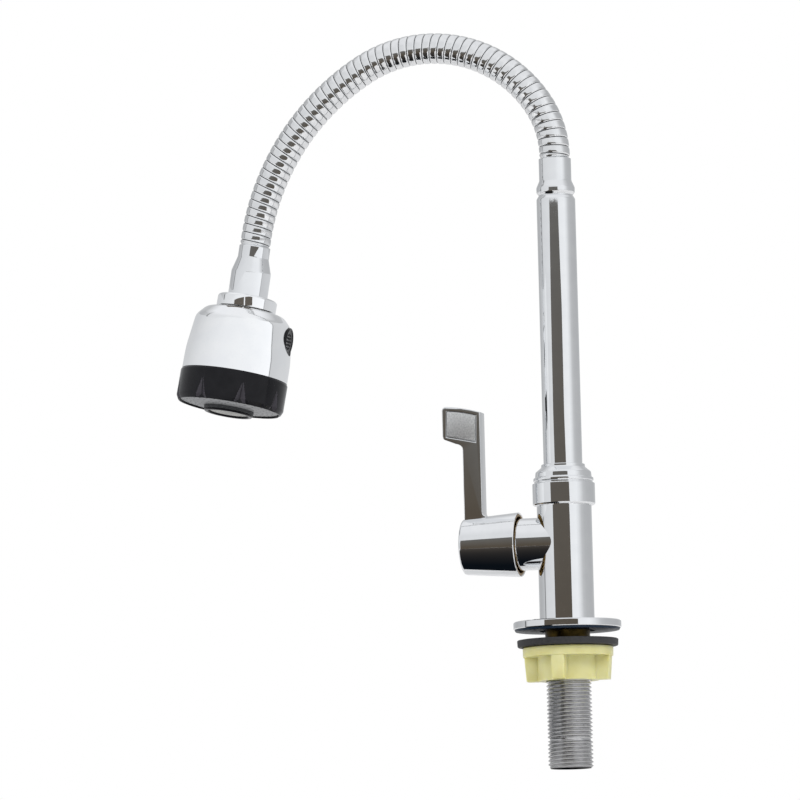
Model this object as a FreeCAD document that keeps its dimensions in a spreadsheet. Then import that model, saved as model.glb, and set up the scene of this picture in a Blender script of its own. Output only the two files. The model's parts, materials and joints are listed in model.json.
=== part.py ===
import FreeCAD, Part
import math
import os
import re
import Sketcher

# Flexible kitchen tap: pillar body with a side lever, swivel riser, ribbed gooseneck hose and a
# tilting spray head. Millimetres, +Z up, the spout and the lever reach towards -X.
# The origin is on the tap's axis, in the plane of the worktop that the flange gasket lies on.

doc = FreeCAD.newDocument("FlexibleTap")
sheet = doc.addObject("Spreadsheet::Sheet", "Sizes")

SIZES = [
    # base flange and its gasket
    ("flange_diameter", 50), ("flange_top", 4), ("flange_lift", 0.6), ("flange_edge", 0.8),
    ("gasket_inset", 1.5), ("gasket_thickness", 1.6), ("gasket_hole", 26),
    # threaded tail below the body
    ("shank_diameter", 20.955), ("shank_below", 63.7), ("shank_bore", 12.6), ("shank_socket", 11.5),
    ("shank_chamfer", 1), ("shank_last_thread", 12.8), ("shank_groove", 1.5), ("shank_groove_depth", 1.2),
    ("socket_play", 0.05), ("passage_play", 0.3),
    # pillar body with the branch that carries the lever
    ("body_diameter", 25.4), ("body_over_branch", 17), ("body_foot_edge", 0.6), ("inlet_bore", 9),
    ("branch_height", 41), ("branch_diameter", 24.2), ("branch_reach", 26), ("cartridge_bore", 17.2),
    ("cartridge_seat", 6.5), ("seat_port", 8), ("outlet_passage", 5), ("outlet_passage_offset", 6.2),
    ("riser_socket", 17.8), ("socket_floor_lift", 9.5), ("neck_step", 1.2), ("neck_height", 4),
    # collar nut round the foot of the riser
    ("collar_over", 1.8), ("collar_lift", 0.3), ("skirt_height", 10.2), ("skirt_edge", 0.7),
    ("collar_groove_depth", 1.1), ("collar_groove", 0.9), ("bead_inset", 0.5), ("bead_height", 1.6),
    ("shoulder_inset", 1.5), ("shoulder_height", 2.8), ("lip_wall", 1.1), ("lip_taper", 2.2),
    ("lip_height", 1.4), ("thread_play", 0.1), ("swivel_play", 0.3), ("swivel_ring", 1.2),
    # clamping set under the worktop
    ("washer_top", 4), ("washer_diameter", 47), ("washer_thickness", 3.3), ("washer_gap", 0.3),
    ("nut_flange_step", 0.5), ("nut_flange_height", 4.4), ("nut_height", 15.5), ("nut_diameter", 41),
    ("nut_core_diameter", 28.2), ("nut_lugs", 4), ("nut_lug_width", 6), ("nut_lug_root", 1),
    ("nut_lug_draft", 0.9), ("glide_play", 0.08), ("nut_angle", 88.5),
    # cartridge in the branch
    ("headwork_flange", 21.4), ("headwork_flange_width", 2.6), ("gland_diameter", 15),
    ("gland_length", 7), ("gland_chamfer", 0.6), ("disc_room", 8.4), ("disc_play", 0.25),
    ("disc_thickness", 3), ("disc_gap", 0.1), ("disc_hole", 4.2), ("disc_hole_offset", 3.8),
    ("seal_thickness", 1.6), ("seal_hole", 8), ("seal_lift", 0.3), ("headwork_wall", 1.1),
    # lever handle
    ("spindle_diameter", 8), ("spindle_start", 0.2), ("spindle_depth", 22.8), ("spindle_disc", 3),
    ("spindle_play", 0.15), ("spindle_chamfer", 0.5), ("hub_overlap", 4.8), ("hub_length", 26.9),
    ("hub_play", 0.4), ("bush_wall", 1.2), ("hub_rim", 1.3), ("hub_taper", 2.1), ("hub_edge", 1.6),
    ("hub_cavity_depth", 9.3), ("hub_inner_diameter", 16.6), ("hub_inner_depth", 16),
    ("bush_width", 3.6), ("bush_sunk", 0.4),
    ("arm_width", 8.7), ("arm_depth", 9.2), ("arm_near", 16.8), ("arm_root", 5), ("flag_reach", 18.1),
    ("flag_top_out", 65.6), ("flag_top_drop", 3.2), ("flag_height", 15.2), ("flag_bottom_drop", 2.6),
    ("flag_round", 70), ("flag_inner_round", 3), ("inlay_margin", 2.3), ("inlay_depth", 0.8),
    ("screw_diameter", 4), ("screw_length", 7), ("screw_place", 19.3), ("screw_socket", 2),
    ("screw_socket_depth", 2.5),
    # swivelling riser tube
    ("riser_diameter", 18), ("riser_wall", 1), ("riser_top", 199.5),
    ("foot_flange_inset", 0.7), ("foot_flange_height", 2), ("foot_play", 0.4), ("foot_bore", 10),
    ("foot_spigot", 9), ("foot_clearance", 0.6), ("ring_section", 1.8), ("ring_groove_width", 2.3),
    ("ring_bite", 0.15), ("ring_low", 2), ("ring_pitch", 4.6), ("spigot_play", 0.05),
    # turned end of the riser that holds the hose
    ("ferrule_spigot", 8), ("ferrule_play", 0.4), ("ferrule_shoulder", 3), ("ferrule_step", 1.75),
    ("ferrule_groove", 1.7), ("ferrule_bead", 3.6), ("ferrule_bead_round", 1.86),
    ("ferrule_shoulder_round", 3.4), ("ferrule_wall", 1), ("ferrule_height", 21),
    ("hose_socket_depth", 4), ("hose_socket_play", 0.05),
    # ribbed hose on three tangent arcs
    ("hose_lead", 1), ("hose_radius_a", 47), ("hose_turn_a", 33), ("hose_radius_b", 62.2),
    ("hose_turn_b", 87.5), ("hose_radius_c", 112), ("hose_turn_c", 49.5), ("hose_tail", 3),
    ("rib_diameter", 14.2), ("rib_height", 0.65), ("strip_wall", 0.75), ("rib_slope", 0.35),
    ("strip_width", 1.15), ("hose_stretches", 6), ("ribs_in_stretch", 10), ("bend_gap", 1.8),
    ("liner_play", 0.8), ("liner_wall", 1.3), ("liner_past", 2.5), ("liner_short", 4),
    # turned end of the hose with the ball that carries the head
    ("end_wall", 0.8), ("end_top_height", 6), ("end_diameter", 18), ("end_cone_height", 6),
    ("end_height", 24), ("end_edge", 0.6), ("ball_neck_diameter", 10), ("ball_diameter", 17),
    ("ball_station", 33), ("ball_flat", 4.5), ("ball_passage", 7), ("head_lean", 5),
    # ring and seat that grip the ball
    ("ring_diameter", 28), ("ring_top", 24.4), ("ring_bottom", 30.2), ("ring_mouth", 23.2),
    ("ring_mouth_depth", 2), ("ring_lip_diameter", 16.4), ("ring_lip", 1.4), ("ring_edge", 0.8),
    ("seat_diameter", 21.8), ("seat_top", 28.1), ("seat_lift", 0.3), ("ball_play", 0.1),
    ("seat_hold", 3), ("snap_station", 35), ("snap_section", 1.4), ("snap_groove", 2),
    ("snap_groove_diameter", 19.8), ("snap_room", 23.2), ("snap_play", 0.15),
    # spray head
    ("shell_top", 30.6), ("shell_bottom", 62.1), ("shell_diameter", 49.8), ("shell_wall", 1.8),
    ("shell_crown_margin", 0.2), ("shell_crown_slope", 1.5), ("shell_turn_inset", 6.3),
    ("shell_shoulder_station", 36), ("shell_shoulder_inset", 2.3), ("shell_shoulder_round", 6),
    ("shell_inner_round", 5.1), ("shell_side_station", 52), ("shell_side_round", 62),
    ("shell_side_inset", 0.1), ("core_socket_play", 0.5), ("core_floor_wall", 1.3), ("core_bore", 14.8),
    ("core_flange_height", 3), ("grip_step", 0.5), ("grip_bottom", 75.8), ("grip_face_inset", 1),
    ("grip_lip_height", 3), ("grip_wall", 3.5),
    ("grip_edge", 1.6), ("grip_edge_round", 1.92), ("grip_notches", 8), ("notch_width", 5),
    ("notch_tip", 0.5), ("notch_depth", 1.3), ("notch_height", 9), ("notch_turn", 19),
    ("joint_play", 0.1), ("plate_inset", 1.4), ("plate_thickness", 2.4), ("plate_hole_diameter", 1.2),
    ("plate_rings", 2), ("plate_first_ring", 14.4), ("plate_ring_pitch", 3.4), ("plate_first_count", 18),
    ("plate_count_step", 6), ("boss_diameter", 23.4), ("boss_past", 1.8), ("boss_gap", 5),
    ("boss_bore", 19), ("boss_mouth_depth", 2.2), ("boss_passage", 14), ("boss_edge", 0.5),
    ("mesh_diameter", 18.8), ("mesh_thickness", 3), ("mesh_hole", 1.5), ("mesh_holes", 12),
    ("mesh_ring", 6), ("face_seal", 1.5),
    # spray shuttle through the head
    ("shuttle_station", 42.5), ("rod_diameter", 5.6), ("rod_play", 0.1),
    ("button_diameter", 13), ("button_thickness", 4.4), ("button_edge", 0.6), ("button_room", 0.35),
    ("button_sunk", 1.2),
    ("shuttle_stroke", 2), ("rod_groove_width", 1.9), ("rod_ring_section", 1.5), ("rod_ring_offset", 10),
]

for row, (alias, value) in enumerate(SIZES, start=1):
    sheet.set("A%d" % row, alias)
    sheet.set("B%d" % row, str(value))
    sheet.setAlias("B%d" % row, alias)
doc.recompute()

ALIASES = set(alias for alias, value in SIZES)
WORD = re.compile(r"[a-z][a-z_]*")

# Two points nearer than this are the same point.
SAME_POINT = 1e-6

# The turn about +Y that lays a piece's own +Z along the branch, towards -X.
ALONG_BRANCH = "0 - 90"


def bound(text):
    """The text as a document expression, with each size's name led by the sheet's."""
    return WORD.sub(lambda word: ("Sizes." if word.group() in ALIASES else "") + word.group(), text)


def size(text):
    """The present value of an expression in the sheet's sizes."""
    value = sheet.evalExpression(bound(text))
    return float(getattr(value, "Value", value))


def place(piece, x="0", y="0", z="0", turn="0", axis=(0, 1, 0)):
    """Puts a piece at x, y, z, turned about an axis, each bound to the sheet."""
    piece.Placement = FreeCAD.Placement(
        FreeCAD.Vector(size(x), size(y), size(z)), FreeCAD.Rotation(FreeCAD.Vector(*axis), size(turn)))
    for path, text in (("Base.x", x), ("Base.y", y), ("Base.z", z), ("Rotation.Angle", turn)):
        if text != "0":
            piece.setExpression("Placement." + path, bound(text))


def new_body(node):
    """A body whose label is the sub-part's name."""
    body = doc.addObject("PartDesign::Body", node)
    body.Label = node
    return body


def origin_plane(body, role):
    """One of a body's own origin planes or axes."""
    return [feature for feature in body.Origin.OriginFeatures if feature.Role == role][0]


def arc_between(start, end, radius):
    """The short arc from start to end; a positive radius has its centre on the left."""
    chord = end - start
    half = chord.Length / 2
    left = FreeCAD.Vector(-chord.y, chord.x, 0)
    left.normalize()
    side = 1 if radius > 0 else -1
    sagitta = abs(radius) - math.sqrt(max(radius * radius - half * half, 0))
    return Part.Arc(start, (start + end) / 2 - left * side * sagitta, end)


def add_profile(body, name, corners, role="XZ_Plane"):
    """A closed sketch through corners (across, up) or (across, up, radius of the arc to the next)."""
    sketch = body.newObject("Sketcher::SketchObject", name)
    sketch.AttachmentSupport = [(origin_plane(body, role), "")]
    sketch.MapMode = "FlatFace"
    points = [FreeCAD.Vector(size(corner[0]), size(corner[1]), 0) for corner in corners]
    ends = []
    for index, corner in enumerate(corners):
        start = points[index]
        end = points[(index + 1) % len(points)]
        if len(corner) > 2:
            geometry = sketch.addGeometry(arc_between(start, end, size(corner[2])), False)
        else:
            geometry = sketch.addGeometry(Part.LineSegment(start, end), False)
        first = 1 if sketch.getPoint(geometry, 1).distanceToPoint(start) < SAME_POINT else 2
        ends.append((geometry, first, 3 - first))
    for index, corner in enumerate(corners):
        geometry, first, last = ends[index]
        following = ends[(index + 1) % len(ends)]
        sketch.addConstraint(Sketcher.Constraint("Coincident", geometry, last, following[0], following[1]))
        for kind, text, axis in (("DistanceX", corner[0], -2), ("DistanceY", corner[1], -1)):
            if text == "0":
                sketch.addConstraint(Sketcher.Constraint("PointOnObject", geometry, first, axis))
                continue
            held = sketch.addConstraint(Sketcher.Constraint(kind, -1, 1, geometry, first, size(text)))
            sketch.setExpression("Constraints[%d]" % held, bound(text))
        if len(corner) > 2:
            held = sketch.addConstraint(Sketcher.Constraint("Radius", geometry, abs(size(corner[2]))))
            sketch.setExpression("Constraints[%d]" % held, bound("abs(%s)" % corner[2]))
    return sketch


def turned(node, corners):
    """A body made by turning a closed half section round its own Z axis."""
    body = new_body(node)
    profile = add_profile(body, node + "_section", corners)
    turn = body.newObject("PartDesign::Revolution", node + "_turned")
    turn.Profile = profile
    turn.ReferenceAxis = (profile, ["V_Axis"])
    turn.Angle = 360
    return body


def groove(body, name, corners):
    """Turns a closed half section out of a body."""
    profile = add_profile(body, name + "_section", corners)
    cut = body.newObject("PartDesign::Groove", name)
    cut.Profile = profile
    cut.ReferenceAxis = (profile, ["V_Axis"])
    cut.Angle = 360
    return cut


def rod(body, kind, name, diameter, length, x="0", y="0", z="0", turn="0", axis=(0, 1, 0)):
    """A bound cylinder added to a body or taken from it."""
    feature = body.newObject("PartDesign::%sCylinder" % kind, name)
    feature.setExpression("Radius", bound("(%s) / 2" % diameter))
    feature.setExpression("Height", bound(length))
    place(feature, x, y, z, turn, axis)
    return feature


def wedge(body, kind, name, sides, frame):
    """A bound wedge whose first side lies at zero, with its placement as an expression."""
    feature = body.newObject("PartDesign::%sWedge" % kind, name)
    for path in ("Xmin", "X2min", "Ymin", "Zmin", "Z2min"):
        setattr(feature, path, 0)
    for path, text in sides:
        feature.setExpression(path, bound(text))
    feature.setExpression("Placement", bound(frame))
    return feature


def around(body, feature, name, count):
    """Repeats a feature evenly round the body's Z axis."""
    pattern = body.newObject("PartDesign::PolarPattern", name)
    pattern.Originals = [feature]
    pattern.Axis = (origin_plane(body, "Z_Axis"), [""])
    pattern.Angle = 360
    pattern.setExpression("Occurrences", bound(count))
    body.Tip = pattern
    return pattern


def o_ring(node, middle, height, section):
    """A round rubber ring of the given middle radius, height and section diameter."""
    body = new_body(node)
    sketch = body.newObject("Sketcher::SketchObject", node + "_section")
    sketch.AttachmentSupport = [(origin_plane(body, "XZ_Plane"), "")]
    sketch.MapMode = "FlatFace"
    centre = FreeCAD.Vector(size(middle), size(height), 0)
    radius = "(%s) / 2" % section
    circle = sketch.addGeometry(Part.Circle(centre, FreeCAD.Vector(0, 0, 1), size(radius)), False)
    for kind, value in (("DistanceX", middle), ("DistanceY", height)):
        held = sketch.addConstraint(Sketcher.Constraint(kind, -1, 1, circle, 3, size(value)))
        sketch.setExpression("Constraints[%d]" % held, bound(value))
    held = sketch.addConstraint(Sketcher.Constraint("Radius", circle, size(radius)))
    sketch.setExpression("Constraints[%d]" % held, bound(radius))
    turn = body.newObject("PartDesign::Revolution", node + "_turned")
    turn.Profile = sketch
    turn.ReferenceAxis = (sketch, ["V_Axis"])
    turn.Angle = 360
    return body


# Where the hose's arcs begin and end, as expressions in the sheet's sizes.
HEADING_A = "hose_turn_a"
HEADING_B = "(hose_turn_a + hose_turn_b)"
HEADING_C = "(hose_turn_a + hose_turn_b + hose_turn_c)"
HOSE_END_X = (
    "-(hose_radius_a * (1 - cos(%s)) + hose_radius_b * (cos(%s) - cos(%s))"
    " + hose_radius_c * (cos(%s) - cos(%s)) + hose_tail * sin(%s))"
    % (HEADING_A, HEADING_A, HEADING_B, HEADING_B, HEADING_C, HEADING_C))
HOSE_END_Z = (
    "riser_top + ferrule_height + hose_lead + hose_radius_a * sin(%s) + hose_radius_b * (sin(%s) - sin(%s))"
    " + hose_radius_c * (sin(%s) - sin(%s)) + hose_tail * cos(%s)"
    % (HEADING_A, HEADING_B, HEADING_A, HEADING_C, HEADING_B, HEADING_C))


# Radii and places that more than one piece takes, as expressions in the sheet's sizes.
GASKET_RIM = "flange_diameter / 2 - gasket_inset"
BODY_TOP = "(branch_height + body_over_branch)"
NECK = "body_diameter / 2 - neck_step"
NECK_TOP = "(branch_height + body_over_branch + neck_height)"
SOCKET_FLOOR = "(branch_height + socket_floor_lift)"
FOOT_FLANGE = NECK + " - foot_flange_inset"
RISER_START = "(%s + foot_flange_height + 2 * swivel_play)" % NECK_TOP
DISC = "cartridge_bore / 2 - socket_play - headwork_wall - disc_play"
HUB_MOUTH = "(branch_reach - hub_overlap)"
HOSE_START = "riser_top + ferrule_height"
STRIP = "rib_diameter / 2 - rib_height"
HOSE_BORE = STRIP + " - strip_wall"
LINER = HOSE_BORE + " - liner_play"
SOCKET_BOTTOM = "(shuttle_station - rod_diameter / 2 - rod_play - core_floor_wall)"
CORE_BOTTOM = "(shell_bottom - grip_lip_height - joint_play)"

# The frame on the hose's end, +Z along the flow, and the head's frame on the ball's centre, which leans
# to the front.
HOSE_END = "placement(vector(%s; 0; %s); vector(0; 1; 0); 0 - %s)" % (HOSE_END_X, HOSE_END_Z, HEADING_C)
HEAD = HOSE_END + " * placement(vector(0; 0; ball_station); vector(1; 0; 0); head_lean)"


def on_head(piece, station="0"):
    """Places a piece on the head's axis, its own +Z along the flow, at a station from the hose's end."""
    piece.setExpression("Placement", bound(
        "%s * placement(vector(0; 0; %s - ball_station); vector(0; 0; 1); 0)" % (HEAD, station)))


def on_branch(piece, station="0"):
    """Places a piece on the branch's axis, its own +Z towards -X, at a station from the tap's axis."""
    place(piece, x="-(%s)" % station, z="branch_height", turn=ALONG_BRANCH)


def make_base():
    """Pillar body, tail, flange and gasket."""
    gasket = turned("flange_gasket", [
        ("gasket_hole / 2", "0"), (GASKET_RIM, "0"),
        (GASKET_RIM, "gasket_thickness"), ("gasket_hole / 2", "gasket_thickness")])
    place(gasket)

    hole = "shank_diameter / 2 + passage_play"
    flange = turned("base_flange", [
        (hole, "flange_lift"), ("gasket_hole / 2", "flange_lift"), ("gasket_hole / 2", "gasket_thickness"),
        (GASKET_RIM, "gasket_thickness"), (GASKET_RIM, "flange_lift"),
        ("flange_diameter / 2", "flange_lift"),
        ("flange_diameter / 2", "flange_top - flange_edge", "flange_edge"),
        ("flange_diameter / 2 - flange_edge", "flange_top"), (hole, "flange_top")])
    place(flange)

    # local height 0 is the tail's lower end
    end = "shank_diameter / 2"
    low = "shank_last_thread"
    floor = "shank_diameter / 2 - shank_groove_depth"
    shank = turned("inlet_shank", [
        ("shank_bore / 2", "0"), (end + " - shank_chamfer", "0"), (end, "shank_chamfer"),
        (end, low), (floor, low), (floor, low + " + shank_groove"), (end, low + " + shank_groove"),
        (end, "shank_below + flange_top + shank_socket"),
        ("shank_bore / 2", "shank_below + flange_top + shank_socket")])
    place(shank, z="-shank_below")

    # local height 0 is the top of the flange
    body = turned("tap_body", [
        ("0", "shank_socket"), (end + " + socket_play", "shank_socket"), (end + " + socket_play", "0"),
        ("body_diameter / 2 - body_foot_edge", "0"), ("body_diameter / 2", "body_foot_edge"),
        ("body_diameter / 2", BODY_TOP + " - flange_top"), (NECK, BODY_TOP + " - flange_top"),
        (NECK, NECK_TOP + " - flange_top"), ("0", NECK_TOP + " - flange_top")])
    height = "branch_height - flange_top"
    rod(body, "Additive", "branch", "branch_diameter", "branch_reach", z=height, turn=ALONG_BRANCH)
    rod(body, "Subtractive", "riser_socket_bore", "riser_socket",
        "body_over_branch + neck_height - socket_floor_lift", z=SOCKET_FLOOR + " - flange_top")
    rod(body, "Subtractive", "cartridge_hole", "cartridge_bore", "branch_reach - cartridge_seat",
        x="-cartridge_seat", z=height, turn=ALONG_BRANCH)
    rod(body, "Subtractive", "seat_hole", "seat_port", "cartridge_seat", z=height, turn=ALONG_BRANCH)
    rod(body, "Subtractive", "inlet_hole", "inlet_bore", height + " - shank_socket", z="shank_socket")
    rod(body, "Subtractive", "outlet_hole", "outlet_passage", "socket_floor_lift",
        x="-(cartridge_seat + outlet_passage_offset - outlet_passage)", z=height)
    place(body, z="flange_top")


def make_collar():
    """Nut that holds the riser's foot in the body, and the plastic ring it turns on."""
    skirt = "skirt_height"
    groove_top = "skirt_height + collar_groove"
    bead_top = groove_top + " + bead_height"
    shoulder_top = bead_top + " + shoulder_height"
    taper_top = shoulder_top + " + lip_taper"
    thread = NECK + " + thread_play"
    passage = "riser_diameter / 2 + swivel_play"
    ceiling = "neck_height + foot_flange_height + 2 * swivel_play + swivel_ring"
    outside = "body_diameter / 2 + collar_over"
    channel = outside + " - collar_groove_depth"
    shoulder = outside + " - shoulder_inset"
    lip = "riser_diameter / 2 + lip_wall"
    collar = turned("collar_nut", [
        (thread, "0"), (outside + " - skirt_edge", "0"), (outside, "skirt_edge"), (outside, skirt),
        (channel, skirt), (channel, groove_top), (outside + " - bead_inset", groove_top, "bead_height"),
        (shoulder, bead_top), (shoulder, shoulder_top), (lip, taper_top), (lip, taper_top + " + lip_height"),
        (passage, taper_top + " + lip_height"), (passage, ceiling), (thread, ceiling)])
    place(collar, z=BODY_TOP + " + collar_lift")

    ring = turned("swivel_ring", [
        (passage, "0"), (FOOT_FLANGE, "0"), (FOOT_FLANGE, "swivel_ring"), (passage, "swivel_ring")])
    place(ring, z=RISER_START)


def make_clamp():
    """Rubber washer and backnut that clamp the tap to the worktop."""
    hole = "shank_diameter / 2 + glide_play"
    washer = turned("rubber_washer", [
        (hole, "0"), ("washer_diameter / 2", "0"), ("washer_diameter / 2", "washer_thickness"),
        (hole, "washer_thickness")])
    place(washer, z="-washer_top - washer_thickness")

    # local height 0 is the nut's lower end
    core = "nut_core_diameter / 2"
    flange = "nut_diameter / 2 + nut_flange_step"
    under = "nut_height - nut_flange_height"
    nut = turned("backnut", [
        (hole, "0"), (core, "0"), (core, under), (flange, under), (flange, "nut_height"),
        (hole, "nut_height")])
    # each lug stands on the core under the flange and draws in towards the nut's lower end
    reach = "(nut_diameter - nut_core_diameter) / 2 + nut_lug_root"
    lug = wedge(nut, "Additive", "grip_lug", [
        ("Xmax", reach), ("X2max", reach + " - nut_lug_draft"), ("Ymax", under),
        ("Zmax", "nut_lug_width"), ("Z2max", "nut_lug_width")],
        "placement(vector(%s - nut_lug_root; -nut_lug_width / 2; %s); vector(1; 0; 0); 0 - 90)"
        % (core, under))
    around(nut, lug, "grip_lugs", "nut_lugs")
    place(nut, z="-washer_top - washer_thickness - washer_gap - nut_height", turn="nut_angle", axis=(0, 0, 1))


def make_cartridge():
    """Ceramic disc cartridge in the branch: shell, gland, fixed disc and seat seal."""
    outside = "cartridge_bore / 2 - socket_play"
    inside = outside + " - headwork_wall"
    shaft = "spindle_diameter / 2 + spindle_play"
    tail = "branch_reach - cartridge_seat"
    start = "seal_thickness + seal_lift"
    room = start + " + disc_room"
    front = tail + " + headwork_flange_width"
    shell = turned("cartridge_shell", [
        (inside, start), (outside, start), (outside, tail), ("headwork_flange / 2", tail),
        ("headwork_flange / 2", front), (shaft, front), (shaft, room), (inside, room)])
    on_branch(shell, "cartridge_seat")

    gland = turned("gland_nut", [
        (shaft, "0"), ("gland_diameter / 2", "0"), ("gland_diameter / 2", "gland_length - gland_chamfer"),
        ("gland_diameter / 2 - gland_chamfer", "gland_length"), (shaft, "gland_length")])
    on_branch(gland, "branch_reach + headwork_flange_width")

    seal = turned("seat_seal", [
        ("seal_hole / 2", "0"), (DISC, "0"), (DISC, "seal_thickness"), ("seal_hole / 2", "seal_thickness")])
    on_branch(seal, "cartridge_seat")

    fixed = turned("fixed_ceramic_disc", [
        ("0", "0"), (DISC, "0"), (DISC, "disc_thickness"), ("0", "disc_thickness")])
    port = rod(fixed, "Subtractive", "fixed_port", "disc_hole", "disc_thickness", x="disc_hole_offset")
    around(fixed, port, "fixed_ports", "2")
    on_branch(fixed, "cartridge_seat + seal_thickness")


def make_handle():
    """Lever casting with its inlay, brass bush, spindle, moving disc and grub screw."""
    # local height 0 is the hub's mouth, +Z runs outwards along the branch's axis
    shaft = "spindle_diameter / 2 + socket_play"
    bore = "branch_diameter / 2 + hub_play"
    bush_outside = bore + " + bush_wall"
    mouth = bush_outside + " + hub_rim"
    end = mouth + " - hub_taper"
    hub = turned("lever_handle", [
        ("0", "spindle_depth"), (shaft, "spindle_depth"), (shaft, "hub_inner_depth"),
        ("hub_inner_diameter / 2", "hub_inner_depth"), (bore, "hub_cavity_depth"),
        (bore, "bush_width + bush_sunk"), (bush_outside, "bush_width + bush_sunk"), (bush_outside, "0"),
        (mouth, "0"), (end, "hub_length - hub_edge", "hub_edge"), (end + " - hub_edge", "hub_length"),
        ("0", "hub_length")])
    # the arm and its flag stand on the hub's outer end, in the plane of the branch
    near = "arm_near"
    back = "arm_near + arm_width"
    far = "arm_near + flag_reach"
    top_in = "flag_top_out - flag_top_drop"
    bottom_out = "flag_top_out - flag_height"
    bottom_in = bottom_out + " - flag_bottom_drop"
    outline = add_profile(hub, "arm_outline", [
        ("arm_root", near), (top_in, near, "flag_round"), ("flag_top_out", far), (bottom_out, far),
        (bottom_in, back + " + flag_inner_round", "-flag_inner_round"),
        (bottom_in + " - flag_inner_round", back), ("arm_root", back)])
    arm = hub.newObject("PartDesign::Pad", "arm")
    arm.Profile = outline
    arm.SideType = "Symmetric"
    arm.setExpression("Length", bound("arm_depth"))
    doc.recompute()
    rod(hub, "Subtractive", "screw_hole", "screw_diameter + 2 * socket_play", "branch_diameter",
        x="-branch_diameter - spindle_diameter / 2", z="screw_place", turn="90")
    margin_far = far + " - inlay_margin"
    margin_near = near + " + inlay_margin"
    inlay_corners = [
        (bottom_in + " + inlay_margin", margin_near), (top_in + " - inlay_margin", margin_near, "flag_round"),
        ("flag_top_out - inlay_margin", margin_far), (bottom_out + " + inlay_margin", margin_far)]
    recess = add_profile(hub, "inlay_outline", inlay_corners)
    recess.setExpression("AttachmentOffset.Base.z", bound("arm_depth / 2 - inlay_depth"))
    pocket = hub.newObject("PartDesign::Pocket", "inlay_recess")
    pocket.Profile = recess
    pocket.Reversed = True
    pocket.setExpression("Length", bound("inlay_depth"))
    on_branch(hub, HUB_MOUTH)

    inlay = new_body("lever_inlay")
    shape = add_profile(inlay, "inlay_shape", inlay_corners)
    plate = inlay.newObject("PartDesign::Pad", "inlay_plate")
    plate.Profile = shape
    plate.setExpression("Length", bound("inlay_depth"))
    inlay.Tip = plate
    place(inlay, x="-" + HUB_MOUTH, y="-(arm_depth / 2 - inlay_depth)", z="branch_height", turn=ALONG_BRANCH)

    bush = turned("hub_bush", [
        (bore, "0"), (bush_outside + " - socket_play", "0"),
        (bush_outside + " - socket_play", "bush_width"), (bore, "bush_width")])
    on_branch(bush, HUB_MOUTH + " + bush_sunk")

    disc_start = "cartridge_seat + seal_thickness + disc_thickness + disc_gap"
    moving = turned("moving_ceramic_disc", [
        ("0", "0"), (DISC, "0"), (DISC, "disc_thickness"), ("0", "disc_thickness")])
    port = rod(moving, "Subtractive", "moving_port", "disc_hole", "disc_thickness", x="disc_hole_offset")
    around(moving, port, "moving_ports", "2")
    on_branch(moving, disc_start)

    spindle_start = disc_start + " + disc_thickness + spindle_start"
    reach = "(%s + spindle_depth - (%s))" % (HUB_MOUTH, spindle_start)
    spindle = turned("spindle", [
        ("0", "0"), (DISC, "0"), (DISC, "spindle_disc / 2"),
        ("spindle_diameter / 2", "spindle_disc / 2"), ("spindle_diameter / 2", reach + " - spindle_chamfer"),
        ("spindle_diameter / 2 - spindle_chamfer", reach), ("0", reach)])
    on_branch(spindle, spindle_start)

    screw = turned("handle_grub_screw", [
        ("0", "screw_socket_depth"), ("screw_socket / 2", "screw_socket_depth"), ("screw_socket / 2", "0"),
        ("screw_diameter / 2", "0"), ("screw_diameter / 2", "screw_length"), ("0", "screw_length")])
    place(screw, x="-%s - screw_place" % HUB_MOUTH,
          z="branch_height - spindle_diameter / 2 - socket_play - screw_length")


def make_riser():
    """Swivelling riser: tube, foot with two O-rings, and the turned end that holds the hose."""
    outside = "riser_diameter / 2"
    inside = "riser_diameter / 2 - riser_wall"
    height = "riser_top - " + RISER_START
    tube = turned("riser_tube", [(inside, "0"), (outside, "0"), (outside, height), (inside, height)])
    place(tube, z=RISER_START)

    # local height 0 is the foot's lower end in the body's socket
    stem = "riser_socket / 2 - foot_play"
    start = SOCKET_FLOOR + " + foot_clearance"
    shelf = "body_over_branch + neck_height - socket_floor_lift + swivel_play - foot_clearance"
    ledge = shelf + " + foot_flange_height"
    foot = turned("riser_foot", [
        ("foot_bore / 2", "0"), (stem, "0"), (stem, shelf), (FOOT_FLANGE, shelf),
        (FOOT_FLANGE, ledge), (inside + " - spigot_play", ledge),
        (inside + " - spigot_play", ledge + " + foot_spigot"), ("foot_bore / 2", ledge + " + foot_spigot")])
    floor = "riser_socket / 2 - ring_bite - ring_section"
    for index, label in enumerate(("lower", "upper")):
        middle = "ring_low + %d * ring_pitch" % index
        low = middle + " - ring_groove_width / 2"
        high = middle + " + ring_groove_width / 2"
        groove(foot, label + "_groove", [
            (floor, low), (stem + " + ring_section", low), (stem + " + ring_section", high), (floor, high)])
        ring = o_ring("swivel_o_ring_" + label, "riser_socket / 2 - ring_bite - ring_section / 2",
                      "ring_section / 2", "ring_section")
        place(ring, z="%s + %s - ring_section / 2" % (start, middle))
    place(foot, z=start)

    # local height 0 is the lower end of the spigot inside the tube
    spigot = "ferrule_spigot"
    shoulder = spigot + " + ferrule_shoulder"
    groove_top = shoulder + " + ferrule_groove"
    bead_top = groove_top + " + ferrule_bead"
    top = "ferrule_height + ferrule_spigot"
    channel = outside + " - ferrule_step"
    socket = STRIP + " + hose_socket_play"
    neck = socket + " + ferrule_wall"
    bore = LINER + " + ferrule_play"
    end = turned("riser_hose_ferrule", [
        (bore, "0"), (inside + " - spigot_play", "0"), (inside + " - spigot_play", spigot),
        (outside, spigot, "ferrule_shoulder_round"), (channel, shoulder),
        (channel, groove_top, "ferrule_bead_round"), (neck, bead_top), (neck, top), (socket, top),
        (socket, top + " - hose_socket_depth"), (bore, top + " - hose_socket_depth")])
    place(end, z="riser_top - ferrule_spigot")


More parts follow.
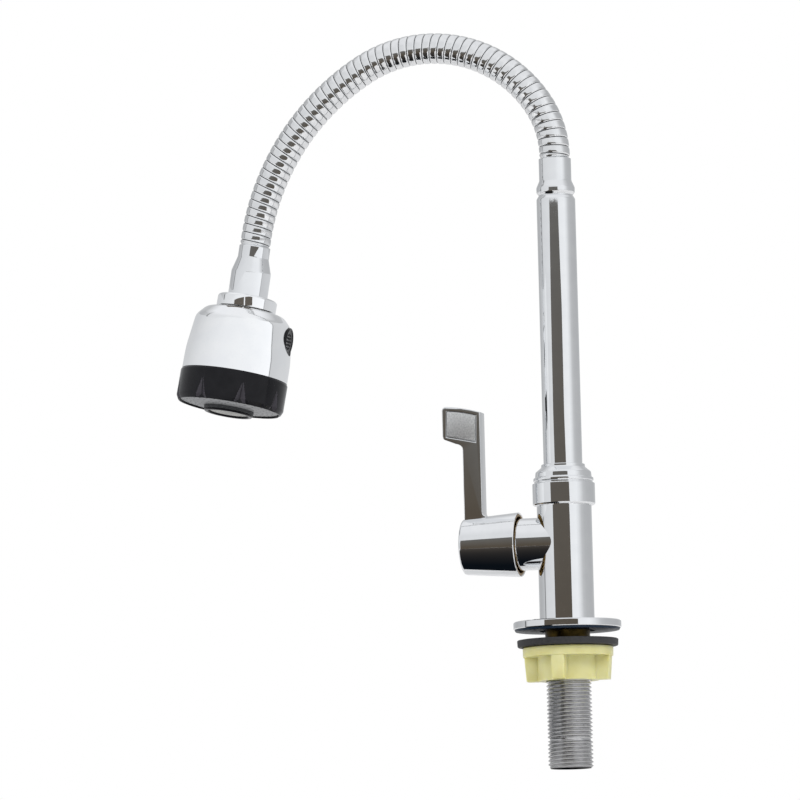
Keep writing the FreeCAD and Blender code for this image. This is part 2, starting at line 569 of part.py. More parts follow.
def hose_path():
    """The hose's centre line from the floor of one socket to the floor of the other: (kind, values) runs."""
    socket = size("hose_socket_depth")
    runs = [("line", socket + size("hose_lead"))]
    for letter in "abc":
        runs.append(("arc", size("hose_radius_" + letter), math.radians(size("hose_turn_" + letter))))
    runs.append(("line", size("hose_tail") + socket))
    return runs


def hose_length():
    """Length of the hose between the floors of its two sockets."""
    return sum(run[1] if run[0] == "line" else run[1] * run[2] for run in hose_path())


def hose_station(distance):
    """(point, direction) at a distance along the hose's centre line."""
    point = FreeCAD.Vector(0, 0, size(HOSE_START + " - hose_socket_depth"))
    heading = math.pi / 2
    for run in hose_path():
        length = run[1] if run[0] == "line" else run[1] * run[2]
        step = min(distance, length)
        if run[0] == "line":
            point = point + FreeCAD.Vector(math.cos(heading), 0, math.sin(heading)) * step
        else:
            after = heading + step / run[1]
            across = math.sin(after) - math.sin(heading)
            up = math.cos(heading) - math.cos(after)
            point = point + FreeCAD.Vector(across, 0, up) * run[1]
            heading = after
        distance -= step
        if distance <= 0:
            break
    return point, FreeCAD.Vector(math.cos(heading), 0, math.sin(heading))


def hose_circle(distance, radius):
    """A circle square to the hose, whose X axis lies along +Y at every station."""
    point, direction = hose_station(distance)
    steady = FreeCAD.Vector(0, 1, 0)
    frame = FreeCAD.Rotation(steady, direction.cross(steady), direction, "ZXY")
    circle = Part.makeCircle(radius)
    circle.Placement = FreeCAD.Placement(point, frame)
    return Part.Wire(circle)


def hose_tube(start, end, radius):
    """A smooth round core along the hose from start to end, of tangent straight and bent pieces."""
    edges = []
    reached = 0
    for run in hose_path():
        length = run[1] if run[0] == "line" else run[1] * run[2]
        low = max(start, reached)
        high = min(end, reached + length)
        if high - low > SAME_POINT:
            first = hose_station(low)[0]
            last = hose_station(high)[0]
            if run[0] == "line":
                edges.append(Part.LineSegment(first, last).toShape())
            else:
                edges.append(Part.Arc(first, hose_station((low + high) / 2)[0], last).toShape())
        reached += length
    return Part.Wire(edges).makePipeShell([hose_circle(start, radius)], True, False)


def bend_stations():
    """Distances along the hose of the middles of the gaps where it bends."""
    count = int(size("hose_stretches"))
    length = hose_length()
    socket = size("hose_socket_depth")
    return [socket + (length - 2 * socket) * (index + 0.5) / count for index in range(count)]


def make_hose():
    """Ribbed hose in stretches that bend against each other, each with its own length of liner."""
    bends = bend_stations()
    half_gap = size("bend_gap") / 2
    socket = size("hose_socket_depth")
    length = hose_length()
    edges = [0] + bends + [length]
    ribs = int(size("ribs_in_stretch"))
    valley = size(STRIP)
    crest = size("rib_diameter / 2")
    slope = size("rib_slope")
    strip = size("strip_width")
    for index in range(len(edges) - 1):
        first = index == 0
        last = index == len(edges) - 2
        low = 0 if first else edges[index] + half_gap
        high = length if last else edges[index + 1] - half_gap
        count = ribs // 2 if first or last else ribs
        rib_low = socket + strip if first else low
        rib_high = length - socket - strip if last else high
        pitch = (rib_high - rib_low + strip) / count
        crest_width = pitch - strip - 2 * slope
        rings = [hose_circle(low, valley)] if first else []
        for rib in range(count):
            foot = rib_low + rib * pitch
            top = foot + slope
            rings.append(hose_circle(foot, valley))
            rings.append(hose_circle(top, crest))
            rings.append(hose_circle(top + crest_width, crest))
            rings.append(hose_circle(top + crest_width + slope, valley))
        if last:
            rings.append(hose_circle(high, valley))
        outer = Part.makeLoft(rings, True, True)
        stretch = doc.addObject("Part::Feature", "hose_stretch_%d" % (index + 1))
        stretch.Label = stretch.Name
        stretch.Shape = outer.cut(hose_tube(low, high, size(HOSE_BORE)))
        stretch.Placement = FreeCAD.Placement()

        liner_low = low + size("hose_socket_play") if first else edges[index] + size("liner_short")
        liner_high = high if last else edges[index + 1] + size("liner_past")
        liner = doc.addObject("Part::Feature", "hose_liner_%d" % (index + 1))
        liner.Label = liner.Name
        liner.Shape = hose_tube(liner_low, liner_high, size(LINER)).cut(
            hose_tube(liner_low, liner_high, size(LINER + " - liner_wall")))
        liner.Placement = FreeCAD.Placement()


def make_hose_end():
    """Turned end of the hose with its ball, and the ring and seat that grip the ball."""
    # local height 0 is the visible end of the hose, +Z runs down the flow
    socket = STRIP + " + hose_socket_play"
    outside = socket + " + end_wall"
    top = "end_top_height"
    cone = "end_top_height + end_cone_height"
    neck = "ball_neck_diameter / 2"
    ball = "ball_diameter / 2"
    junction = "ball_station - sqrt((%s)^2 - (%s)^2)" % (ball, neck)
    flat = "sqrt((%s)^2 - ball_flat^2)" % ball
    passage = "ball_passage / 2"
    end = turned("head_hose_ferrule", [
        (passage, "hose_socket_depth"), (socket, "hose_socket_depth"), (socket, "0"),
        (outside, "0"), (outside, top), ("end_diameter / 2", cone),
        ("end_diameter / 2", "end_height - end_edge"),
        ("end_diameter / 2 - end_edge", "end_height"), (neck, "end_height"), (neck, junction, ball),
        (flat, "ball_station + ball_flat"), (passage, "ball_station + ball_flat")])
    end.setExpression("Placement", bound(HOSE_END))

    rim = "ring_diameter / 2"
    skirt = "seat_diameter / 2 + socket_play"
    deep = "ring_bottom - ring_top"
    lip = "ring_mouth_depth + ring_lip"
    ring = turned("head_collar_ring", [
        ("ring_mouth / 2", "0"), (rim + " - ring_edge", "0", "ring_edge"), (rim, "ring_edge"),
        (rim, deep + " - ring_edge", "ring_edge"), (rim + " - ring_edge", deep), (skirt, deep), (skirt, lip),
        ("ring_lip_diameter / 2", lip), ("ring_lip_diameter / 2", "ring_mouth_depth"),
        ("ring_mouth / 2", "ring_mouth_depth")])
    on_head(ring, "ring_top")

    grip = "(ball_diameter / 2 + ball_play)"
    rise = "(ball_station - seat_top)"
    drop = "seat_hold"
    outside = "seat_diameter / 2"
    snap_low = "snap_station - seat_top - snap_groove / 2"
    snap_high = "snap_station - seat_top + snap_groove / 2"
    seat = turned("ball_seat", [
        ("sqrt(%s^2 - %s^2)" % (grip, rise), "0"), (outside, "0"), (outside, snap_low),
        ("snap_groove_diameter / 2", snap_low), ("snap_groove_diameter / 2", snap_high),
        (outside, snap_high), (outside, SOCKET_BOTTOM + " - seat_lift - seat_top"),
        ("sqrt(%s^2 - %s^2)" % (grip, drop), SOCKET_BOTTOM + " - seat_lift - seat_top"),
        ("sqrt(%s^2 - %s^2)" % (grip, drop), "ball_station + %s - seat_top" % drop, "-" + grip)])
    on_head(seat, "seat_top")


def make_head():
    """Spray head: chrome shell, core, black grip ring, nozzle plate and aerator."""
    wall = "shell_wall"
    rim = "shell_diameter / 2"
    crown = "ring_diameter / 2 + shell_crown_margin"
    turn = rim + " - shell_turn_inset"
    shoulder = rim + " - shell_shoulder_inset"
    side = rim + " - shell_side_inset"
    top = "shell_top"
    slope = "shell_crown_slope"
    # local height 0 is the top of the shell
    s_shoulder = "shell_shoulder_station - " + top
    s_side = "shell_side_station - " + top
    s_rim = "shell_bottom - " + top
    socket = "seat_diameter / 2 + core_socket_play"
    neck = socket + " + joint_play"
    shell = turned("head_shell", [
        (neck, "0"), (crown, "0"), (turn, slope, "shell_shoulder_round"),
        (shoulder, s_shoulder, "shell_side_round"), (side, s_side), (rim, s_rim),
        (rim + " - " + wall, s_rim), (side + " - " + wall, s_side, "-shell_side_round"),
        (shoulder + " - " + wall, s_shoulder + " + " + wall, "-shell_inner_round"),
        (turn + " - " + wall, slope + " + " + wall), (neck, wall)])
    station = "shuttle_station - " + top
    rod(shell, "Subtractive", "button_hole", "button_diameter + 2 * button_room",
        "shell_diameter + 2 * shell_wall", x="-shell_diameter / 2 - shell_wall", z=station, turn="90")
    on_head(shell, top)

    # local height 0 is the top of the core, just under the shell's crown
    start = "shell_top + shell_wall + joint_play"
    room = "snap_room / 2"
    below = SOCKET_BOTTOM + " - (%s)" % start
    snap_low = "snap_station - snap_groove / 2 - (%s)" % start
    snap_high = "snap_station + snap_groove / 2 - (%s)" % start
    foot = CORE_BOTTOM + " - (%s)" % start
    outside = turn + " - " + wall
    flange = side + " - " + wall + " - joint_play"
    core = turned("head_core", [
        (socket, "0"), (outside, slope), (outside, foot + " - core_flange_height"),
        (flange, foot + " - core_flange_height"), (flange, foot), ("core_bore / 2", foot),
        ("core_bore / 2", below), (socket, below),
        (socket, snap_high), (room, snap_high), (room, snap_low), (socket, snap_low)])
    rod(core, "Subtractive", "shuttle_bore", "rod_diameter + 2 * rod_play", "shell_diameter",
        x="-shell_diameter / 2", z="shuttle_station - (%s)" % start, turn="90")
    on_head(core, start)

    snap = o_ring("snap_ring", "snap_groove_diameter / 2 + snap_play + snap_section / 2",
                  "snap_section / 2", "snap_section")
    on_head(snap, "snap_station - snap_section / 2")

    # local height 0 is the top of the ring's inner lip
    lip = "grip_lip_height"
    deep = "grip_bottom - shell_bottom + grip_lip_height"
    grip = rim + " + grip_step"
    inner = grip + " - grip_wall"
    collar = rim + " - shell_wall - joint_play"
    ring = turned("grip_ring", [
        (inner, "0"), (collar, "0"), (collar, lip), (grip, lip),
        (grip, deep + " - grip_edge", "grip_edge_round"), (grip + " - grip_face_inset", deep), (inner, deep)])
    # a wedge as broad as the notch at the ring's face, narrowing to its tip
    notch = wedge(ring, "Subtractive", "grip_notch", [
        ("Xmax", "notch_depth * 2"), ("X2max", "notch_depth * 2"), ("Ymax", "notch_height"),
        ("Zmax", "notch_width"), ("Z2min", "(notch_width - notch_tip) / 2"),
        ("Z2max", "(notch_width + notch_tip) / 2")],
        "placement(vector(0; 0; 0); vector(0; 0; 1); notch_turn)"
        " * placement(vector(%s - notch_depth; -notch_width / 2; %s); vector(1; 0; 0); 0 - 90)"
        % (grip, deep))
    around(ring, notch, "grip_notches", "grip_notches")
    on_head(ring, "shell_bottom - grip_lip_height")

    plate = turned("nozzle_plate", [
        ("boss_diameter / 2 + joint_play", "0"), (inner + " - joint_play", "0"),
        (inner + " - joint_play", "plate_thickness"), ("boss_diameter / 2 + joint_play", "plate_thickness")])
    for index in range(int(size("plate_rings"))):
        hole = rod(plate, "Subtractive", "nozzle_%d" % (index + 1), "plate_hole_diameter", "plate_thickness",
                   x="plate_first_ring + %d * plate_ring_pitch" % index)
        around(plate, hole, "nozzle_ring_%d" % (index + 1),
               "plate_first_count + %d * plate_count_step" % index)
    plate_top = "grip_bottom - plate_inset - plate_thickness"
    on_head(plate, plate_top)

    boss_top = CORE_BOTTOM + " + boss_gap"
    boss_bottom = "grip_bottom + boss_past"
    deep = boss_bottom + " - (%s)" % boss_top
    shelf = deep + " - boss_mouth_depth - mesh_thickness"
    boss = turned("aerator_housing", [
        ("boss_passage / 2", "0"), ("boss_diameter / 2", "0"), ("boss_diameter / 2", deep + " - boss_edge"),
        ("boss_diameter / 2 - boss_edge", deep), ("boss_bore / 2", deep), ("boss_bore / 2", shelf),
        ("boss_passage / 2", shelf)])
    on_head(boss, boss_top)

    insert = turned("aerator_insert", [
        ("0", "0"), ("mesh_diameter / 2", "0"), ("mesh_diameter / 2", "mesh_thickness"),
        ("0", "mesh_thickness")])
    hole = rod(insert, "Subtractive", "mesh_hole_cut", "mesh_hole", "mesh_thickness", x="mesh_ring")
    around(insert, hole, "mesh_hole_ring", "mesh_holes")
    on_head(insert, boss_bottom + " - boss_mouth_depth - mesh_thickness")

    seal = turned("face_seal", [
        ("boss_diameter / 2 + joint_play", "0"), (inner + " - joint_play", "0"),
        (inner + " - joint_play", "face_seal"), ("boss_diameter / 2 + joint_play", "face_seal")])
    on_head(seal, plate_top + " - face_seal")


def on_shuttle(piece, offset, outward):
    """Places a turned piece on the shuttle's axis, which crosses the head's in the plane of the hose."""
    piece.setExpression("Placement", bound(
        "%s * placement(vector(0 - (%s); 0; shuttle_station - ball_station); vector(0; 1; 0); 0 %s 90)"
        % (HEAD, offset, "-" if outward else "+")))


def make_shuttle():
    """Push rod through the head with a round button on each end and two seals."""
    # the shuttle rests pushed over to the right, so its middle stands half a stroke off the head's axis
    length = "(shell_diameter - shuttle_stroke - 2 * button_thickness - 2 * button_sunk)"
    right = "shell_diameter / 2 - button_sunk - button_thickness"
    left = "(shell_diameter / 2 - button_sunk - shuttle_stroke - button_thickness)"
    section = [("0", "0"), ("rod_diameter / 2", "0")]
    for side in ("-", "+"):
        middle = "%s / 2 %s rod_ring_offset" % (length, side)
        low = middle + " - rod_groove_width / 2"
        high = middle + " + rod_groove_width / 2"
        floor = "rod_diameter / 2 - rod_ring_section + rod_play / 2"
        section += [("rod_diameter / 2", low), (floor, low), (floor, high), ("rod_diameter / 2", high)]
    section += [("rod_diameter / 2", length), ("0", length)]
    shuttle = turned("shuttle_rod", section)
    on_shuttle(shuttle, "0 - " + left, True)
    for side, label in (("-", "left"), ("+", "right")):
        middle = "rod_diameter / 2 - rod_ring_section / 2 + rod_play / 2"
        ring = o_ring("shuttle_o_ring_" + label, middle, "rod_ring_section / 2", "rod_ring_section")
        on_shuttle(ring, "shuttle_stroke / 2 %s rod_ring_offset - rod_ring_section / 2" % side, True)

    # local height 0 is the button's face on the rod's end
    button_section = [
        ("0", "0"), ("button_diameter / 2", "0"), ("button_diameter / 2", "button_thickness - button_edge"),
        ("button_diameter / 2 - button_edge", "button_thickness"), ("0", "button_thickness")]
    on_shuttle(turned("push_button_right", button_section), right, True)
    on_shuttle(turned("push_button_left", button_section), "0 - " + left, False)


make_base()
make_collar()
make_clamp()
make_cartridge()
make_handle()
make_riser()
make_hose()
make_hose_end()
make_head()
make_shuttle()
doc.recompute()

subparts = [piece for piece in doc.Objects if piece.TypeId in ("PartDesign::Body", "Part::Feature")]
failed = [item.Name for item in doc.Objects if "Invalid" in item.State or "Error" in item.State]
failed += [piece.Label for piece in subparts if piece.Shape.isNull() or not piece.Shape.isValid()]
if failed:
    raise RuntimeError("failed or without a valid shape: " + ", ".join(failed))

os.makedirs("parts", exist_ok=True)
for piece in subparts:
    piece.Shape.exportStep("parts/%s.step" % piece.Label)
print("hose", round(hose_length(), 2), "mm on", len(bend_stations()), "bends")
print(len(subparts), "sub-parts")
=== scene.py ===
import bmesh
import bpy
import json
import math
from mathutils import Matrix, Vector
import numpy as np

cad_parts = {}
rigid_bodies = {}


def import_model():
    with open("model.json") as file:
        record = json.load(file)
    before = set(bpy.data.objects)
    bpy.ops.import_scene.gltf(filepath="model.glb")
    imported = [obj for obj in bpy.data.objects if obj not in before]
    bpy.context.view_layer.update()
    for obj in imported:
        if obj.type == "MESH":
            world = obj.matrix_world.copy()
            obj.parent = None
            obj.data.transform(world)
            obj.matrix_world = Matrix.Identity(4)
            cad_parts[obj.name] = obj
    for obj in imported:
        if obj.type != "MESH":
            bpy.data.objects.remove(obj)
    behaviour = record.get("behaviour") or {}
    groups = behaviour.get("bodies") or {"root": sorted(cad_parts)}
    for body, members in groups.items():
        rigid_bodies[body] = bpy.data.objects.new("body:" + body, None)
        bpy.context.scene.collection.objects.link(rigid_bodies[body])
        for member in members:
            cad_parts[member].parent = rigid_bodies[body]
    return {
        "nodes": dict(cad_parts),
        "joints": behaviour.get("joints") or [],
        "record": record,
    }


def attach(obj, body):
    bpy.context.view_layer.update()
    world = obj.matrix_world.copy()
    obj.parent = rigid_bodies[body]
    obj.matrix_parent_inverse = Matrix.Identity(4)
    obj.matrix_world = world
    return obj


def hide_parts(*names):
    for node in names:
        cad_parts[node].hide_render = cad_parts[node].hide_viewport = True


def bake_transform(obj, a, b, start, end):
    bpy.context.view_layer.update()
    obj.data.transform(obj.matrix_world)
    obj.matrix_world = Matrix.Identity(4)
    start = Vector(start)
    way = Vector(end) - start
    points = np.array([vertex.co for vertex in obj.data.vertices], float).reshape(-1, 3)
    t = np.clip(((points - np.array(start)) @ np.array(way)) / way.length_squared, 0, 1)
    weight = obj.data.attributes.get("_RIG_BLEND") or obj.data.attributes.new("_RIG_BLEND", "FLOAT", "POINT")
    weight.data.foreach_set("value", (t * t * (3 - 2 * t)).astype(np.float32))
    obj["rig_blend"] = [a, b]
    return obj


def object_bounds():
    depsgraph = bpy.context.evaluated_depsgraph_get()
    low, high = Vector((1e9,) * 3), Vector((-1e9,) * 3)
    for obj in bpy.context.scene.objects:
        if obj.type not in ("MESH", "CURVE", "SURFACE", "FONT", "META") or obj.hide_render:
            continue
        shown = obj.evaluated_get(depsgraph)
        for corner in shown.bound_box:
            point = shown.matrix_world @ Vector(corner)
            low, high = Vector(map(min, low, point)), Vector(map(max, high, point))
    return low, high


# Flexible kitchen tap: looks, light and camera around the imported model.
# Shapes are written in millimetres and become metres when a mesh is made.

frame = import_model()
cad_low, cad_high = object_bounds()

MM = 0.001
TAU = 2 * math.pi
TINY = 1e-6
# Points closer than this are welded, in metres, and faces with less area go, in square metres.
WELD = 2e-6
LEAST_AREA = 1e-12
# The matrix of pieces that are written straight in the frame's own axes.
IN_PLACE = Matrix.Identity(4)
SHARP_DEGREES = 40

# Where the photograph was taken from: azimuth, elevation and roll in degrees, its scale, the pixel that shows
# the frame's origin, the camera's distance in metres and the width of its sensor in millimetres.
VIEW_AZIMUTH = 14
VIEW_ELEVATION = -5.5
VIEW_ROLL = 1.45
PIXELS_PER_MM = 2.16
IMAGE_SIDE = 800
ORIGIN_PIXEL = (567.5, 631)
CAMERA_DISTANCE = 4.0
SENSOR = 36.0

# What the pieces are built on: the branch's height, directions, and the ball, whose centre lies BALL_STATION
# from the point where the ribbed hose ends.
JOINTS = {joint["name"]: joint for joint in frame["joints"]}
BALL_STATION = 33
BALL_RADIUS = 8.5
BRANCH_HEIGHT = JOINTS["lever_turn"]["pos_m"][2] / MM
SIDE = Vector((0, 1, 0))
ACROSS = Vector(JOINTS["spray_push"]["axis"])
BALL = Vector(JOINTS["head_spin"]["pos_m"]) / MM
# The hose ends downwards in the plane of the arch; the head's flow leans out of it to the front.
HOSE_FLOW = SIDE.cross(ACROSS)
HEAD_FLOW = Vector(JOINTS["head_spin"]["axis"])


def axis_frame(origin, direction, first):
    """A matrix whose Z runs along direction and whose X is near first, at origin."""
    z = Vector(direction).normalized()
    x = (Vector(first) - z * z.dot(Vector(first))).normalized()
    y = z.cross(x)
    rotation = Matrix((x, y, z)).transposed().to_4x4()
    return Matrix.Translation(Vector(origin)) @ rotation


PILLAR = axis_frame((0, 0, 0), (0, 0, 1), (1, 0, 0))
BRANCH = axis_frame((0, 0, BRANCH_HEIGHT), (-1, 0, 0), (0, 0, 1))
HOSE_END = axis_frame(BALL - HOSE_FLOW * BALL_STATION, HOSE_FLOW, -ACROSS)
HEAD = axis_frame(BALL - HEAD_FLOW * BALL_STATION, HEAD_FLOW, -ACROSS)
SHUTTLE_STATION = 42.5
SHUTTLE_MIDDLE = BALL + HEAD_FLOW * (SHUTTLE_STATION - BALL_STATION)


# Profiles and turned meshes

def rounded(corners, steps):
    """Spans (start, its normal, end, its normal) of an outline with its corners rounded.

    A corner is (radius, height) or (radius, height, fillet); the outside lies on the right of the run.
    """
    points = [Vector(corner[:2]) for corner in corners]
    fillets = [corner[2] if len(corner) > 2 else 0 for corner in corners]
    spans = []
    here = points[0]
    for index in range(1, len(points)):
        corner = points[index]
        heading = (corner - here).normalized()
        normal = Vector((heading.y, -heading.x))
        if index == len(points) - 1 or fillets[index] == 0:
            spans.append((here, normal, corner, normal))
            here = corner
            continue
        onward = (points[index + 1] - corner).normalized()
        turn = heading.angle_signed(onward)
        reach = abs(fillets[index] * math.tan(turn / 2))
        start = corner - heading * reach
        spans.append((here, normal, start, normal))
        side = -1 if turn > 0 else 1
        centre = start + Vector((-heading.y, heading.x)) * side * fillets[index]
        arm = start - centre
        last_point, last_normal = start, normal
        for step in range(1, steps + 1):
            swing = Matrix.Rotation(-turn * step / steps, 2)
            next_point = centre + swing @ arm
            next_normal = swing @ normal
            spans.append((last_point, last_normal, next_point, next_normal))
            last_point, last_normal = next_point, next_normal
        here = last_point
    return [span for span in spans if (span[0] - span[2]).length > TINY]


def make_object(name, vertices, faces, matrix, normals=None, smooth=True):
    """A linked mesh object from points in millimetres, with one normal per face corner if given."""
    mesh = bpy.data.meshes.new(name)
    mesh.from_pydata([(matrix @ Vector(point)) * MM for point in vertices], [], faces)
    mesh.update()
    set_smooth(mesh, smooth)
    if normals is not None:
        turn = matrix.to_3x3()
        mesh.normals_split_custom_set([(turn @ Vector(normal)).normalized() for normal in normals])
    return linked(name, mesh)


def set_smooth(mesh, smooth=True):
    """Makes all faces of a mesh smooth or flat."""
    for polygon in mesh.polygons:
        polygon.use_smooth = smooth


def keep_sharp(piece, degrees=SHARP_DEGREES):
    """Keeps the edges whose faces meet at more than some degrees sharp in smooth shading."""
    piece.data.set_sharp_from_angle(angle=math.radians(degrees))


def linked(name, data):
    """A new object of the scene."""
    thing = bpy.data.objects.new(name, data)
    bpy.context.scene.collection.objects.link(thing)
    return thing


def turned(name, corners, matrix, segments, steps=5):
    """A piece turned about the matrix's Z axis from an outline, with exact normals."""
    vertices, faces, normals = [], [], []
    for start, start_normal, end, end_normal in rounded(corners, steps):
        base = len(vertices)
        for segment in range(segments):
            angle = TAU * segment / segments
            for point in (start, end):
                vertices.append((point.x * math.cos(angle), point.x * math.sin(angle), point.y))
        for segment in range(segments):
            here, there = base + 2 * segment, base + 2 * ((segment + 1) % segments)
            angle, onward = TAU * segment / segments, TAU * (segment + 1) / segments
            face = [(here, angle, start_normal), (there, onward, start_normal),
                    (there + 1, onward, end_normal), (here + 1, angle, end_normal)]
            if start.x < TINY:
                face = [face[0], face[2], face[3]]
            elif end.x < TINY:
                face = face[:3]
            faces.append([corner[0] for corner in face])
            normals += [(normal.x * math.cos(turn), normal.x * math.sin(turn), normal.y)
                        for _, turn, normal in face]
    return make_object(name, vertices, faces, matrix, normals)


def ring_faces(first, sides, rings, tip=None):
    """Faces between rings of vertices that start at index first, and from the last ring to a tip if given."""
    faces = [(low + side, low + (side + 1) % sides, low + sides + (side + 1) % sides, low + sides + side)
             for low in range(first, first + (rings - 1) * sides, sides) for side in range(sides)]
    if tip is not None:
        last = first + (rings - 1) * sides
        faces += [(last + side, last + (side + 1) % sides, tip) for side in range(sides)]
    return faces


def modelled(name, outline, matrix, radius_at, segments, row_step, steps=4):
    """A turned piece whose radius is changed by radius_at(angle, radius, height)."""
    rows = []
    for start, _, end, _ in rounded(outline, steps):
        count = max(1, round((end - start).length / row_step))
        rows += [start.lerp(end, step / count) for step in range(count)]
    rows.append(Vector(outline[-1][:2]))
    vertices = []
    for row in rows:
        for segment in range(segments):
            angle = TAU * segment / segments
            radius = radius_at(angle, row.x, row.y)
            vertices.append((radius * math.cos(angle), radius * math.sin(angle), row.y))
    piece = make_object(name, vertices, ring_faces(0, segments, len(rows)), matrix)
    keep_sharp(piece)
    return piece


# Materials

def set_inputs(tree, node, inputs):
    """Sets a node's inputs, each to a value or to another node's output, and returns the node."""
    for name, value in inputs.items():
        if isinstance(value, bpy.types.NodeSocket):
            tree.links.new(value, node.inputs[name])
        else:
            node.inputs[name].default_value = value
    return node


def add_node(tree, kind, inputs, **settings):
    """A new node of a kind with its inputs and settings."""
    node = tree.nodes.new("ShaderNode" + kind)
    for name, value in settings.items():
        setattr(node, name, value)
    return set_inputs(tree, node, inputs)


def new_material(name):
    """(material, its node tree, its shader) of a fresh node material."""
    material = bpy.data.materials.new(name)
    material.use_nodes = True
    return material, material.node_tree, material.node_tree.nodes["Principled BSDF"]


def noise(tree, scale, detail, stretch):
    """A noise on the object's own coordinates."""
    place = add_node(tree, "TexCoord", {}).outputs["Object"]
    mapped = add_node(tree, "Mapping", {"Vector": place, "Scale": stretch}).outputs["Vector"]
    return add_node(tree, "TexNoise", {"Vector": mapped, "Scale": scale, "Detail": detail}).outputs["Fac"]


def ranged(tree, source, low, high, spread=(0.3, 0.7)):
    """The source's value mapped from spread to low..high."""
    mapped = add_node(tree, "MapRange", {
        "Value": source, "From Min": spread[0], "From Max": spread[1], "To Min": low, "To Max": high})
    return mapped.outputs["Result"]


def blended(tree, factor, low, high):
    """A colour between low and high by factor; each is a colour or another node's output."""
    low, high = [(*colour, 1) if isinstance(colour, tuple) else colour for colour in (low, high)]
    mix = add_node(tree, "Mix", {"Factor": factor, "A": low, "B": high}, data_type="RGBA")
    return mix.outputs["Result"]


def show(tree, output):
    """Makes a shader's output what the material shows."""
    tree.links.new(output, tree.nodes["Material Output"].inputs["Surface"])


def show_one_side(tree, output):
    """Shows a shader on the front of the faces and leaves their back clear."""
    back = add_node(tree, "NewGeometry", {}).outputs["Backfacing"]
    clear = add_node(tree, "BsdfTransparent", {}).outputs["BSDF"]
    show(tree, add_node(tree, "MixShader", {0: back, 1: output, 2: clear}).outputs["Shader"])


def surface(name, low, high, metallic, roughness, grain, bump, bump_grain, stretch=(1, 1, 1), depth=0.0001,
            specular=0.5):
    """A material whose colour and roughness wander between two values, with a fine grain in its surface."""
    material, tree, shader = new_material(name)
    cloud = noise(tree, grain, 3.0, stretch)
    fine = noise(tree, bump_grain, 4.0, stretch)
    relief = add_node(tree, "Bump", {"Height": fine, "Strength": bump, "Distance": depth})
    set_inputs(tree, shader, {
        "Base Color": blended(tree, ranged(tree, cloud, 0, 1), low, high),
        "Roughness": ranged(tree, cloud, *roughness),
        "Metallic": metallic, "Specular IOR Level": specular, "Normal": relief.outputs["Normal"]})
    return material


# The record's slots and a few finishes of the scene's own: darkest and lightest colour, metallic, roughness
# from and to, the grain of both, strength and grain of the fine relief, and what else differs.
FINISHES = {
    "chrome": ((0.82, 0.83, 0.845), (0.86, 0.87, 0.88), 1, (0.02, 0.04), 160, 0.006, 900),
    "chromed_plastic": ((0.9, 0.91, 0.925), (0.94, 0.945, 0.95), 1, (0.05, 0.08), 120, 0.01, 700),
    "hose_steel": ((0.78, 0.79, 0.8), (0.86, 0.865, 0.87), 1, (0.06, 0.1), 300, 0.01, 1500),
    "steel_thread": ((0.48, 0.48, 0.485), (0.62, 0.62, 0.625), 1, (0.2, 0.27), 500, 0.02, 2500,
                     {"stretch": (1, 1, 6)}),
    # Brass darkened almost to black: painted shade on the tail's neck between the washer and the gasket.
    "brass_painted_shade": ((0.006, 0.005, 0.003), (0.13, 0.085, 0.02), 1, (0.3, 0.45), 180, 0.1, 2000),
    "aged_brass": ((0.22, 0.13, 0.04), (0.4, 0.26, 0.09), 1, (0.25, 0.35), 400, 0.1, 2000),
    # Crevice finish: near-black steel that paints the shade in the hose's crevices.
    "crevice_painted_shade": ((0.02, 0.02, 0.022), (0.06, 0.06, 0.063), 1, (0.35, 0.45), 900, 0.1, 2500),
    "brass": ((0.62, 0.46, 0.2), (0.78, 0.62, 0.32), 1, (0.2, 0.35), 400, 0.1, 2000),
    "navy_rubber": ((0.008, 0.018, 0.035), (0.014, 0.026, 0.045), 0, (0.34, 0.42), 300, 0.02, 1500,
                    {"specular": 0.15}),
    "charcoal_rubber": ((0.018, 0.018, 0.02), (0.04, 0.04, 0.042), 0, (0.5, 0.7), 900, 0.35, 3000),
    "silver_inlay": ((0.6, 0.61, 0.61), (0.88, 0.885, 0.885), 1, (0.36, 0.5), 1300, 0.5, 2200,
                     {"depth": 0.0004}),
    "black_plastic": ((0.005, 0.005, 0.0065), (0.009, 0.009, 0.011), 0, (0.14, 0.22), 200, 0.02, 1500,
                      {"specular": 0.17}),
    # Notch sides: matt, and lighter than the grip's black, which paints light onto them.
    "matt_black_painted_light": ((0.03, 0.027, 0.034), (0.042, 0.038, 0.047), 0, (0.35, 0.45), 500, 0.1, 2500,
                   {"specular": 0.3}),
    "grey_plastic": ((0.22, 0.225, 0.23), (0.28, 0.285, 0.29), 0, (0.35, 0.5), 700, 0.1, 3000),
    "screen_wire": ((0.42, 0.42, 0.4), (0.56, 0.56, 0.54), 0, (0.3, 0.45), 900, 0.1, 3000),
    "dark_plastic": ((0.02, 0.022, 0.025), (0.05, 0.052, 0.055), 0, (0.45, 0.65), 1400, 0.8, 2600,
                     {"depth": 0.0004}),
    "white_plastic": ((0.78, 0.78, 0.76), (0.84, 0.84, 0.82), 0, (0.4, 0.5), 200, 0.05, 1500),
    "liner_rubber": ((0.03, 0.03, 0.033), (0.05, 0.05, 0.053), 0, (0.5, 0.6), 300, 0.1, 1500),
    "ceramic_white": ((0.83, 0.82, 0.8), (0.87, 0.86, 0.84), 0, (0.12, 0.2), 300, 0.02, 1500),
    "dark_steel": ((0.08, 0.08, 0.085), (0.14, 0.14, 0.145), 1, (0.3, 0.4), 700, 0.1, 2500),
    # Dark finish of the nozzle mouths: painted shade that stands in for the depth of the holes.
    "hole_painted_shade": ((0.01, 0.01, 0.011), (0.03, 0.03, 0.032), 0, (0.5, 0.7), 900, 0.1, 2500),
    "green_plastic": ((0.66, 0.62, 0.26), (0.78, 0.76, 0.42), 0, (0.3, 0.42), 90, 0.08, 900),
}


